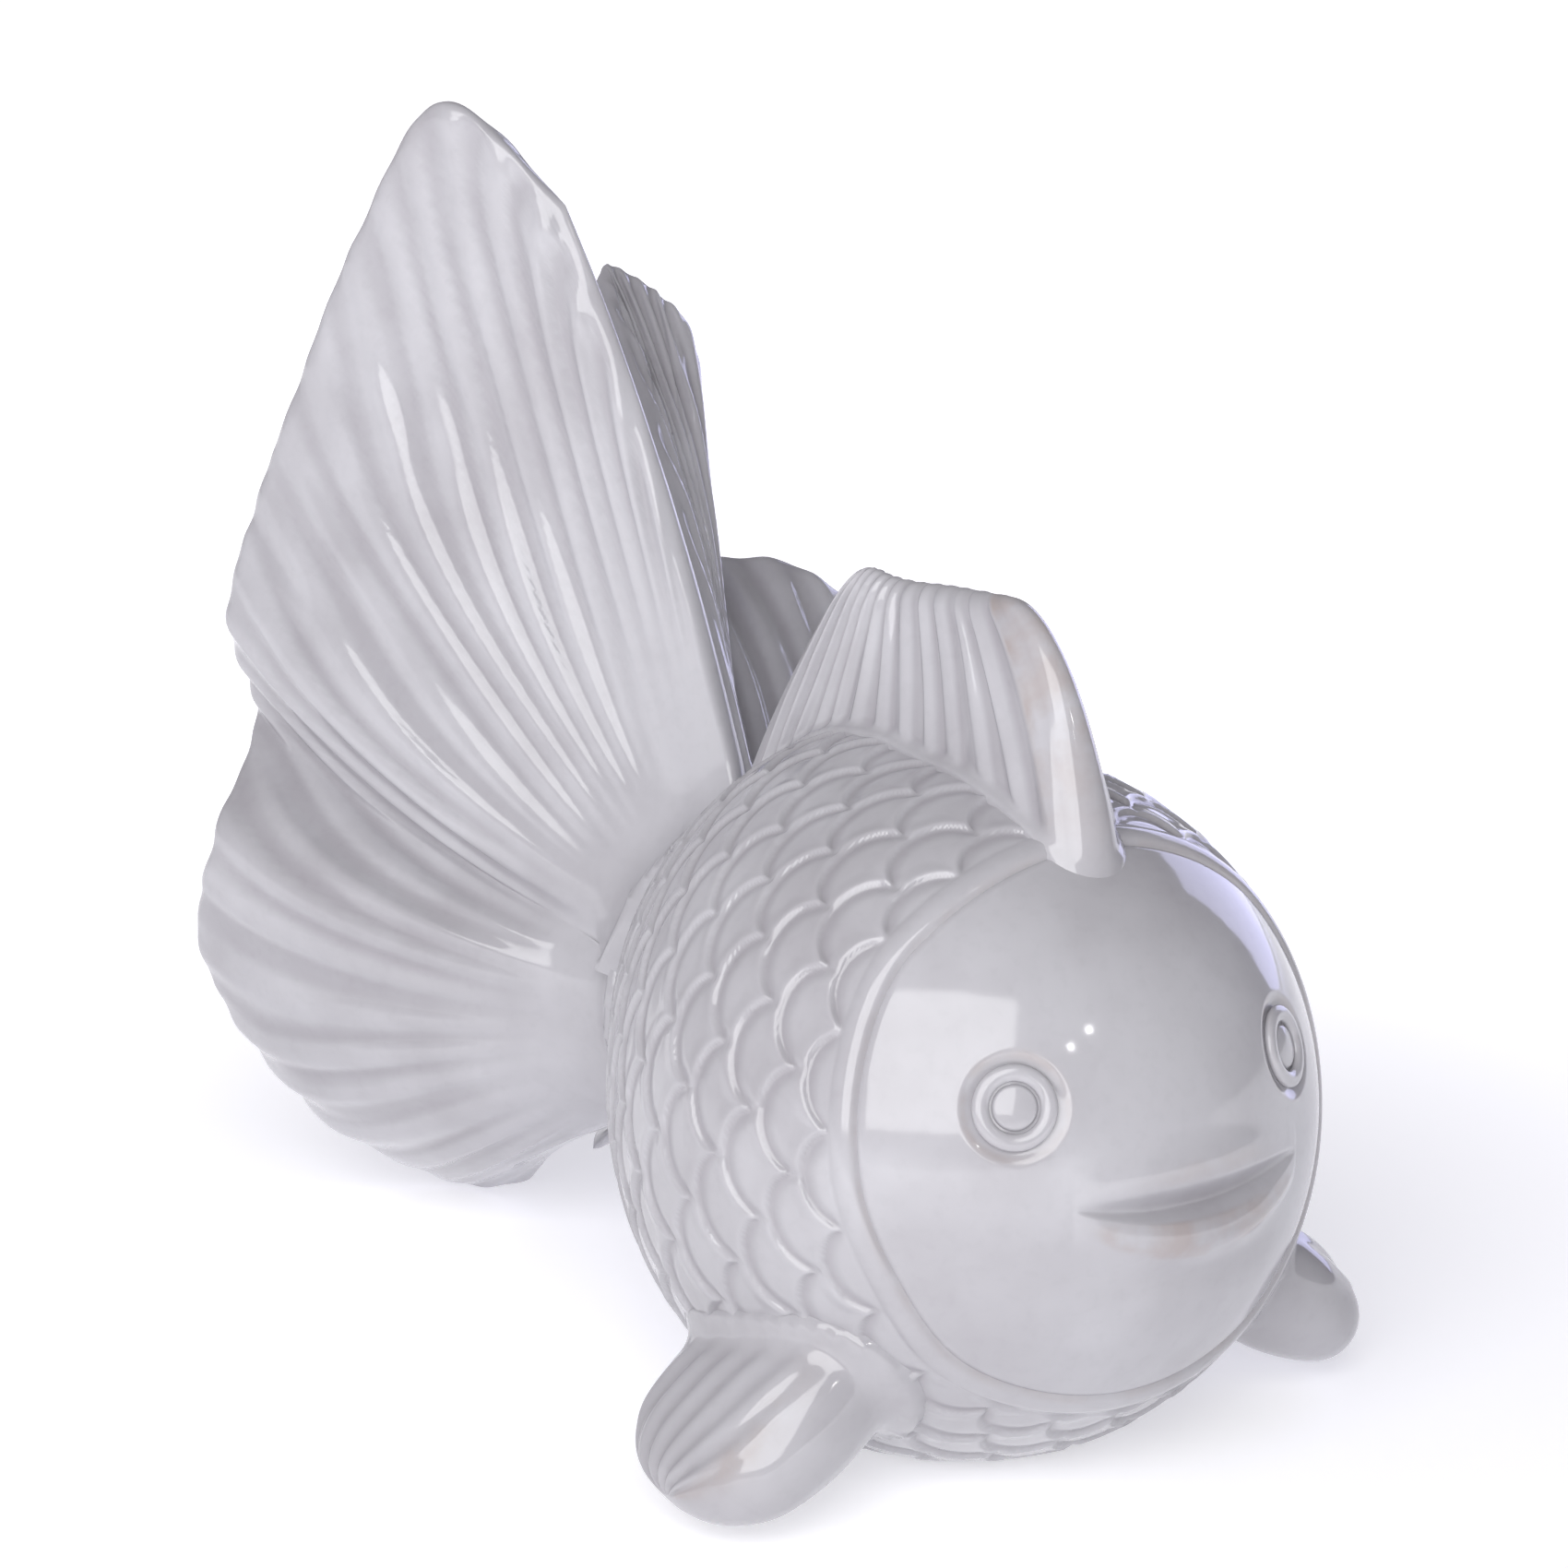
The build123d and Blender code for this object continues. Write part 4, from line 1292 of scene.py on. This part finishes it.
    def relief(self) -> ReliefTree:
        """Write the rule of the fanned ribs as a node tree.

        Returns:
            The tree, ready to be pressed into the fin.
        """
        sizes = {"Rib count": self.rib_count, "Crowding": self.rib_crowding,
                 "Rib depth": self.rib_depth * MM, "Sharpness": self.rib_sharpness,
                 "Curl": self.rib_curl, "Wander": self.rib_wander, "Phase": self.phase,
                 "Drift": self.rib_drift}
        made = ReliefTree(Relief.RIBS, sizes)
        made.read((ALONG, ACROSS, AMOUNT, SIDE))
        # where each point lies among the ribs, which drift, curl and crowd across the fin
        made.work_out((
            ("cube", POWER, (ALONG, 3.0)),
            ("above", TIMES_PLUS, (ACROSS, -self.drift_fade, 1.0)),
            ("run up", TIMES, (ALONG, "above")),
            ("drifted", TIMES_PLUS, ("run up", "Drift", ACROSS)),
            ("bent", TIMES_PLUS, ("cube", "Curl", "drifted")),
            ("square", TIMES, (ACROSS, ACROSS)),
            ("crowd", TIMES, ("square", "Crowding")),
            ("even", TIMES_PLUS, ("bent", "Rib count", "crowd")),
            ("layer", PLUS, (SIDE, "Phase")),
        ))
        # two waves sway the ribs a little, as a hand-drawn line does
        for name, across, along, layers in self.sways:
            made.work_out((
                ("run", TIMES, (ACROSS, FULL_TURN * across)),
                ("bend", TIMES_PLUS, (ALONG, FULL_TURN * along, "run")),
                ("sway angle", TIMES_PLUS, ("layer", layers, "bend")),
                (f"{name} sway", SINE, ("sway angle",)),
            ))
        # each rib is a sharpened wave of its own height, with a finer wave on it
        made.work_out((
            ("sway", TIMES_PLUS, ("quick sway", 0.5, "slow sway")),
            ("phase", TIMES_PLUS, ("sway", "Wander", "even")),
            ("angle", TIMES, ("phase", FULL_TURN)),
            ("wave", COSINE, ("angle",)),
            ("crest", TIMES_PLUS, ("wave", 0.5, 0.5)),
            ("shaped", POWER, ("crest", "Sharpness")),
            ("low along", TIMES, (ALONG, self.swell_size[1])),
            ("fine across", TIMES, ("bent", "Rib count")),
            ("spot", ("ShaderNodeCombineXYZ", {}), ("fine across", "low along", "layer")),
            ("swell", (NOISE, {}), {"Vector": "spot", "Scale": self.swell_size[0], "Detail": 2.0}),
            ("weight", SPREAD, {"Value": "swell", "From Min": self.swell_range[0],
                                "From Max": self.swell_range[1], "To Min": self.rib_weights[0],
                                "To Max": self.rib_weights[1]}),
            ("tall", TIMES, ("shaped", "weight")),
            ("fine angle", TIMES, ("angle", self.fine_ribs[0])),
            ("fine wave", COSINE, ("fine angle",)),
            ("both", TIMES_PLUS, ("fine wave", self.fine_ribs[1], "tall")),
            ("centred", MINUS, ("both", self.rib_mean)),
            ("masked", TIMES, ("centred", AMOUNT)),
            ("height", TIMES, ("masked", "Rib depth")),
            # the rib valleys are darker: pooled glaze and painted shade
            ("depth", SPREAD, {"Value": "both", "From Min": self.rib_mean, "From Max": self.pool_and_shade_range[0],
                               "To Min": 0.0, "To Max": self.pool_and_shade_range[1]}),
            ("pool_and_shade", TIMES, ("depth", AMOUNT)),
        ))
        made.close("height", "pool_and_shade")
        return made

    def build(self, glaze: bpy.types.Material) -> bpy.types.Object:
        """Make the fin, press its ribs and dress it.

        Args:
            glaze: the fin's glaze.
        Returns:
            The fin.
        """
        points, faces, values = self.skin()
        made = make_object(f"ribbed_{self.name}", points, faces, values)
        flip_outward(made)
        self.relief().press(made, glaze)
        # the ribs are kept inside the box of the solids
        places = np.empty(len(made.data.vertices) * 3)
        made.data.vertices.foreach_get("co", places)
        places = np.clip(places.reshape(-1, 3), CAD_BOX[0], CAD_BOX[1])
        made.data.vertices.foreach_set("co", places.reshape(-1))
        made.data.update()
        finish_piece(made, glaze, (self.name,))
        return made


@dataclass
class PectoralFin:
    """One stubby side fin: thick in front, thin behind, with soft ribs on its upper face.

    Sizes in millimetres. A section is its place out and up, its chord and its thickness, as
    shares. The taper is the share of the thickness at mid chord, and its growth to the front.
    """

    name: str
    side: int
    globe: Globe
    reach: float = 87.0
    chord: float = 46.0
    thickness: float = 38.0
    setback: float = 20.0
    root_height: float = 38.0
    flare: float = 5.0
    rib_depth: float = 0.8
    rib_count: float = 3.2
    rib_sweep: float = 0.80
    rib_phase: float = 0.6
    rib_upper: Pair = (0.10, 0.45)
    rib_front: Pair = (-0.72, -0.45)
    rib_root: Pair = (1.0, 7.5)
    rib_tip: Pair = (0.76, 0.97)
    pool_and_shade_weight: float = 0.5
    warm_front: SoftLine = SoftLine(0.34, -0.62, 0.16)
    warm_upper: Pair = (-0.2, 0.5)
    warm_root: Pair = (0.1, 0.5)
    sections: Table = (
        (0.450, 1.00, 0.88, 0.94), (0.610, 0.83, 0.95, 1.00), (0.750, 0.62, 1.00, 0.97),
        (0.866, 0.44, 0.93, 0.80), (0.930, 0.34, 0.77, 0.62), (0.975, 0.27, 0.52, 0.42),
        (0.993, 0.23, 0.22, 0.20), (0.997, 0.222, 0.0, 0.0))
    slant: Place = (-0.12, 0.97, 0.20)
    taper: Pair = (0.66, 0.34)
    rows: int = 120
    columns: int = 180

    def build(self, glaze: bpy.types.Material) -> bpy.types.Object:
        """Make the fin as one closed piece.

        Args:
            glaze: the body's glaze.
        Returns:
            The fin.
        """
        columns = self.columns
        share = np.sin(np.linspace(0, math.pi / 2, self.rows))[:, None]
        out, rise, wide, deep = catmull(np.array(self.sections), share[:, 0]).T[..., None]
        middle = np.stack([self.side * out * self.reach, np.full_like(out, -self.setback),
                           rise * self.root_height], -1)
        span = unit(middle[-2, 0] - middle[0, 0])
        chord_way = unit(np.array([-self.slant[0] * self.side, self.slant[1], self.slant[2]]))
        thick_way = unit(np.cross(span, chord_way))
        thick_way = thick_way * np.sign(thick_way[2])
        turn = np.linspace(0, FULL_TURN, columns, endpoint=False)[None, :]
        back, up = -np.cos(turn), np.sin(turn)
        ring = up * (self.taper[0] - self.taper[1] * back)
        half_chord = back * np.maximum(wide, 0.0) * self.chord / 2
        half_depth = ring * np.maximum(deep, 0.0) * self.thickness / 2
        points = middle + chord_way * half_chord[..., None] + thick_way * half_depth[..., None]
        ways = np.gradient(points, axis=0), (np.roll(points, -1, 1) - np.roll(points, 1, 1))
        outward = unit(np.cross(*ways))
        outward *= np.sign(np.sum(outward * (points - middle), -1))[..., None]
        outward[-1] = span
        gap = self.globe.gap(points)
        tip = 1 - smooth_step(*self.rib_tip, share)
        amount = smooth_step(*self.rib_upper, up) * smooth_step(*self.rib_front, back)
        amount = amount * tip * smooth_step(*self.rib_root, gap)
        rib = self.rib_count * (back - self.rib_sweep * share)
        wave = 0.5 + 0.5 * np.cos(FULL_TURN * rib + self.rib_phase)
        lift = fillet(gap, self.flare) + self.rib_depth * amount * (wave - 0.5)
        points = on_floor(points + outward * lift[..., None])
        # the rib valleys are darker: painted shade, with some pooled glaze
        pool_and_shade = self.pool_and_shade_weight * amount * (1 - wave)
        front = self.warm_front.at(back) * smooth_step(*self.warm_upper, up)
        warm = front * smooth_step(*self.warm_root, share) * tip
        vertices = np.vstack([points[:-1].reshape(-1, 3), [points[-1].mean(0)]])
        last = len(vertices) - 1
        faces = quads(self.rows - 1, columns, True) + fan(last - columns, columns, last)
        faces.append(tuple(range(columns))[::-1])
        flat = [np.append(grid[:-1].reshape(-1), 0) for grid in (pool_and_shade, warm)]
        vertices = np.clip(vertices, np.array(CAD_BOX[0]) / MM, np.array(CAD_BOX[1]) / MM)
        made = make_object(f"ribbed_{self.name}", vertices, faces, {POOL_AND_SHADE: flat[0], WARM: flat[1]})
        flip_outward(made)
        finish_piece(made, glaze, (self.name,))
        return made


@dataclass(frozen=True)
class Softbox:
    """One rectangular light that the camera doesn't see. Sizes in metres, power in watts."""

    name: str
    place: Place
    size: Pair
    power: float
    colour: str = "#FFFFFF"

    def hang(self, aim: Place) -> None:
        """Hang the light so that it faces a point.

        Args:
            aim: the point.
        """
        data = bpy.data.lights.new(self.name, "AREA")
        data.shape = "RECTANGLE"
        data.size, data.size_y = self.size
        data.energy = self.power
        data.color = srgb(self.colour)[:3]
        made = bpy.data.objects.new(self.name, data)
        made.location = self.place
        made.rotation_euler = (Vector(aim) - Vector(self.place)).to_track_quat("-Z", "Y").to_euler()
        made.visible_camera = False
        bpy.context.scene.collection.objects.link(made)


@dataclass
class Studio:
    """Pale floor, soft lights and the camera of the product photograph. Sizes in metres."""

    camera_place: Place = (-0.4815, -0.6233, 0.3260)
    azimuth: float = -35.0
    elevation: float = 13.5
    lens: float = 90.47
    sensor: float = 36.0
    clip: Pair = (0.01, 100.0)
    floor_size: float = 40.0
    floor_drop: float = 0.0004
    aim: Place = (0.0, 0.0, 0.09)
    lights: tuple[Softbox, ...] = (
        Softbox("window_softbox", (-0.78, -0.78, 0.70), (1.05, 1.0), 14.0),
        Softbox("rim_card", (2.80, 1.05, 0.85), (1.7, 1.6), 26.0, "#D6D6FF"),
        Softbox("pin_lamp_high", (0.33, -1.72, 1.23), (0.034, 0.048), 0.6),
        Softbox("pin_lamp_low", (0.06, -1.74, 1.09), (0.029, 0.029), 0.32))
    sky_colour: str = "#FBF8FD"
    sky_strength: float = 0.46
    dim_corner: Place = (0.78, -0.60, 0.15)
    corner_strength: float = 0.03
    corner_range: Pair = (-0.25, 0.70)

    def floor(self) -> None:
        """Lay the paper floor just under the foot."""
        half = self.floor_size / 2
        mesh = bpy.data.meshes.new("floor")
        corners = [(-half, -half, 0), (half, -half, 0), (half, half, 0), (-half, half, 0)]
        mesh.from_pydata(corners, [], [(0, 1, 2, 3)])
        floor = bpy.data.objects.new("floor", mesh)
        floor.location = (0.0, 0.0, -self.floor_drop)
        floor.data.materials.append(PlainPaper().material())
        bpy.context.scene.collection.objects.link(floor)

    def surroundings(self) -> None:
        """Set a pale room that is dim in front of the fish on the right."""
        world = bpy.data.worlds.new("pale_room")
        world.use_nodes = True
        tree = world.node_tree
        tree.nodes.clear()
        toward = add_node(tree, "ShaderNodeTexCoord").outputs["Generated"]
        facing = add_node(tree, VECTOR, {"operation": "DOT_PRODUCT"}, {0: toward, 1: self.dim_corner})
        strength = add_node(tree, RANGE, SOFT, {
            "Value": facing.outputs["Value"], "From Min": self.corner_range[0],
            "From Max": self.corner_range[1], "To Min": self.sky_strength, "To Max": self.corner_strength})
        sky = add_node(tree, "ShaderNodeBackground", links={
            "Color": srgb(self.sky_colour), "Strength": strength.outputs[0]})
        add_node(tree, "ShaderNodeOutputWorld", links={"Surface": sky.outputs[0]})
        bpy.context.scene.world = world

    def camera(self) -> None:
        """Set the camera at the photograph's viewing angle."""
        data = bpy.data.cameras.new("camera")
        data.lens, data.sensor_width = self.lens, self.sensor
        data.clip_start, data.clip_end = self.clip
        camera = bpy.data.objects.new("camera", data)
        turn, lift = math.radians(self.azimuth), math.radians(self.elevation)
        back = Vector((math.sin(turn) * math.cos(lift), -math.cos(turn) * math.cos(lift), math.sin(lift)))
        right = Vector((math.cos(turn), math.sin(turn), 0.0))
        facing = Matrix((right, back.cross(right), back)).transposed().to_4x4()
        camera.matrix_world = Matrix.Translation(self.camera_place) @ facing
        bpy.context.scene.collection.objects.link(camera)
        bpy.context.scene.camera = camera

    def build(self) -> None:
        """Set the floor, the lights, the surroundings and the camera."""
        self.floor()
        for light in self.lights:
            light.hang(self.aim)
        self.surroundings()
        bpy.context.scene.view_settings.view_transform = "Standard"
        self.camera()


# A ray is its root, its bend and its rim, each as shares of the fin's reach to the side, back and up.
# The rays run from a fin's front or upper edge to its rear or lower one.
RIGHT_RAYS: Rays = (
    ((-0.02, 0.364, 0.411), (0.16, 0.445, 0.745), (0.36, 0.550, 0.948)),
    ((0.03, 0.379, 0.383), (0.17, 0.480, 0.740), (0.57, 0.650, 1.000)),
    ((0.05, 0.389, 0.361), (0.22, 0.554, 0.639), (0.67, 0.775, 0.880)),
    ((0.07, 0.400, 0.339), (0.41, 0.600, 0.561), (0.76, 0.857, 0.750)),
    ((0.09, 0.407, 0.319), (0.56, 0.636, 0.494), (0.81, 0.929, 0.642)),
    ((0.10, 0.414, 0.300), (0.71, 0.661, 0.431), (0.86, 0.964, 0.547)),
    ((0.11, 0.421, 0.281), (0.69, 0.714, 0.378), (0.72, 0.996, 0.450)),
    ((0.12, 0.429, 0.261), (0.87, 0.696, 0.311), (1.00, 0.918, 0.361)),
    ((0.12, 0.436, 0.244), (0.92, 0.714, 0.236), (0.96, 0.993, 0.256)),
    ((0.11, 0.443, 0.228), (0.92, 0.732, 0.144), (0.80, 1.000, 0.163)),
    ((0.10, 0.450, 0.211), (0.77, 0.750, 0.085), (0.53, 0.968, 0.072)),
    ((0.07, 0.457, 0.194), (0.46, 0.732, 0.058), (0.22, 0.907, 0.012)),
    ((0.02, 0.464, 0.178), (0.10, 0.679, 0.112), (0.04, 0.821, 0.002)))
LEFT_RAYS: Rays = (
    ((-0.02, 0.364, 0.411), (0.00, 0.496, 0.667), (0.20, 0.786, 0.832)),
    ((0.03, 0.379, 0.383), (0.04, 0.507, 0.644), (0.28, 0.815, 0.842)),
    ((0.04, 0.389, 0.361), (0.07, 0.518, 0.611), (0.36, 0.765, 0.822)),
    ((0.05, 0.400, 0.339), (0.12, 0.529, 0.567), (0.41, 0.725, 0.786)),
    ((0.06, 0.407, 0.319), (0.18, 0.543, 0.522), (0.43, 0.743, 0.690)),
    ((0.08, 0.414, 0.300), (0.27, 0.560, 0.472), (0.46, 0.768, 0.587)),
    ((0.10, 0.421, 0.281), (0.50, 0.554, 0.417), (0.74, 0.704, 0.573)),
    ((0.11, 0.429, 0.261), (0.69, 0.543, 0.367), (0.98, 0.664, 0.502)),
    ((0.11, 0.436, 0.244), (0.74, 0.589, 0.278), (1.00, 0.750, 0.383)),
    ((0.10, 0.443, 0.228), (0.79, 0.625, 0.189), (0.88, 0.821, 0.256)),
    ((0.09, 0.450, 0.211), (0.69, 0.650, 0.122), (0.64, 0.840, 0.150)),
    ((0.07, 0.457, 0.194), (0.42, 0.650, 0.072), (0.32, 0.800, 0.078)),
    ((0.02, 0.464, 0.178), (0.10, 0.621, 0.125), (0.05, 0.743, 0.045)))
DORSAL_RAYS: Rays = (
    ((0.0, -0.630, 0.690), (0.0, -0.465, 0.995), (0.0, -0.200, 1.000)),
    ((0.0, -0.500, 0.720), (0.0, -0.360, 0.920), (0.0, -0.120, 0.999)),
    ((0.0, -0.300, 0.740), (0.0, -0.180, 0.900), (0.0, 0.000, 0.997)),
    ((0.0, -0.050, 0.750), (0.0, 0.020, 0.890), (0.0, 0.120, 0.994)),
    ((0.0, 0.200, 0.750), (0.0, 0.200, 0.890), (0.0, 0.240, 0.990)),
    ((0.0, 0.450, 0.740), (0.0, 0.380, 0.880), (0.0, 0.340, 0.990)),
    ((0.0, 0.680, 0.720), (0.0, 0.560, 0.860), (0.0, 0.420, 0.994)),
    ((0.0, 0.880, 0.680), (0.0, 0.740, 0.835), (0.0, 0.470, 0.990)),
    ((0.0, 1.050, 0.635), (0.0, 0.870, 0.800), (0.0, 0.510, 0.975)))


def main() -> None:
    """Build every sub-assembly in order and set the studio round it."""
    logging.basicConfig(level=logging.INFO, format="%(name)s: %(message)s")
    glaze = MilkGlaze().material()
    globe = Globe()
    ScaledCoat(globe).build(glaze)
    Face(globe).build(glaze)
    for name, side in (("right", -1), ("left", 1)):
        Eye(name, side, globe).build(glaze)
        PectoralFin(f"pectoral_fin_{name}", side, globe).build(glaze)
    for name, rays, out, phase in (("right", RIGHT_RAYS, -73.5, 0.7), ("left", LEFT_RAYS, 81.0, 2.6)):
        RibbedFin(f"tail_lobe_{name}", globe, rays, reach=(out, 210.0, 270.0), root_thickness=8.4,
                  edge_thickness=4.6, flare=12.0, rib_count=35.0, phase=phase).build(glaze)
    RibbedFin("dorsal_fin", globe, DORSAL_RAYS, reach=(1.0, 75.0, 178.5), root_thickness=21.0,
              edge_thickness=9.6, rear_thinning=5.6, front_thinning=3.4, along_round=0.12,
              across_round=0.12, flare=2.2, foot_round=0.34, corner_cut=0.0, rib_count=10.5,
              rib_crowding=5.0, rib_depth=1.5, rib_curl=0.0, rib_drift=0.0, rib_wander=0.10,
              rib_start=(0.0, 0.02), rib_edges=(0.03, 0.98), rim_fade=0.3, rim_wave=0.0,
              warm_edge=0.34, along_lines=110, across_lines=190, phase=5.0).build(glaze)
    Studio().build()


if __name__ == "__main__":
    main()
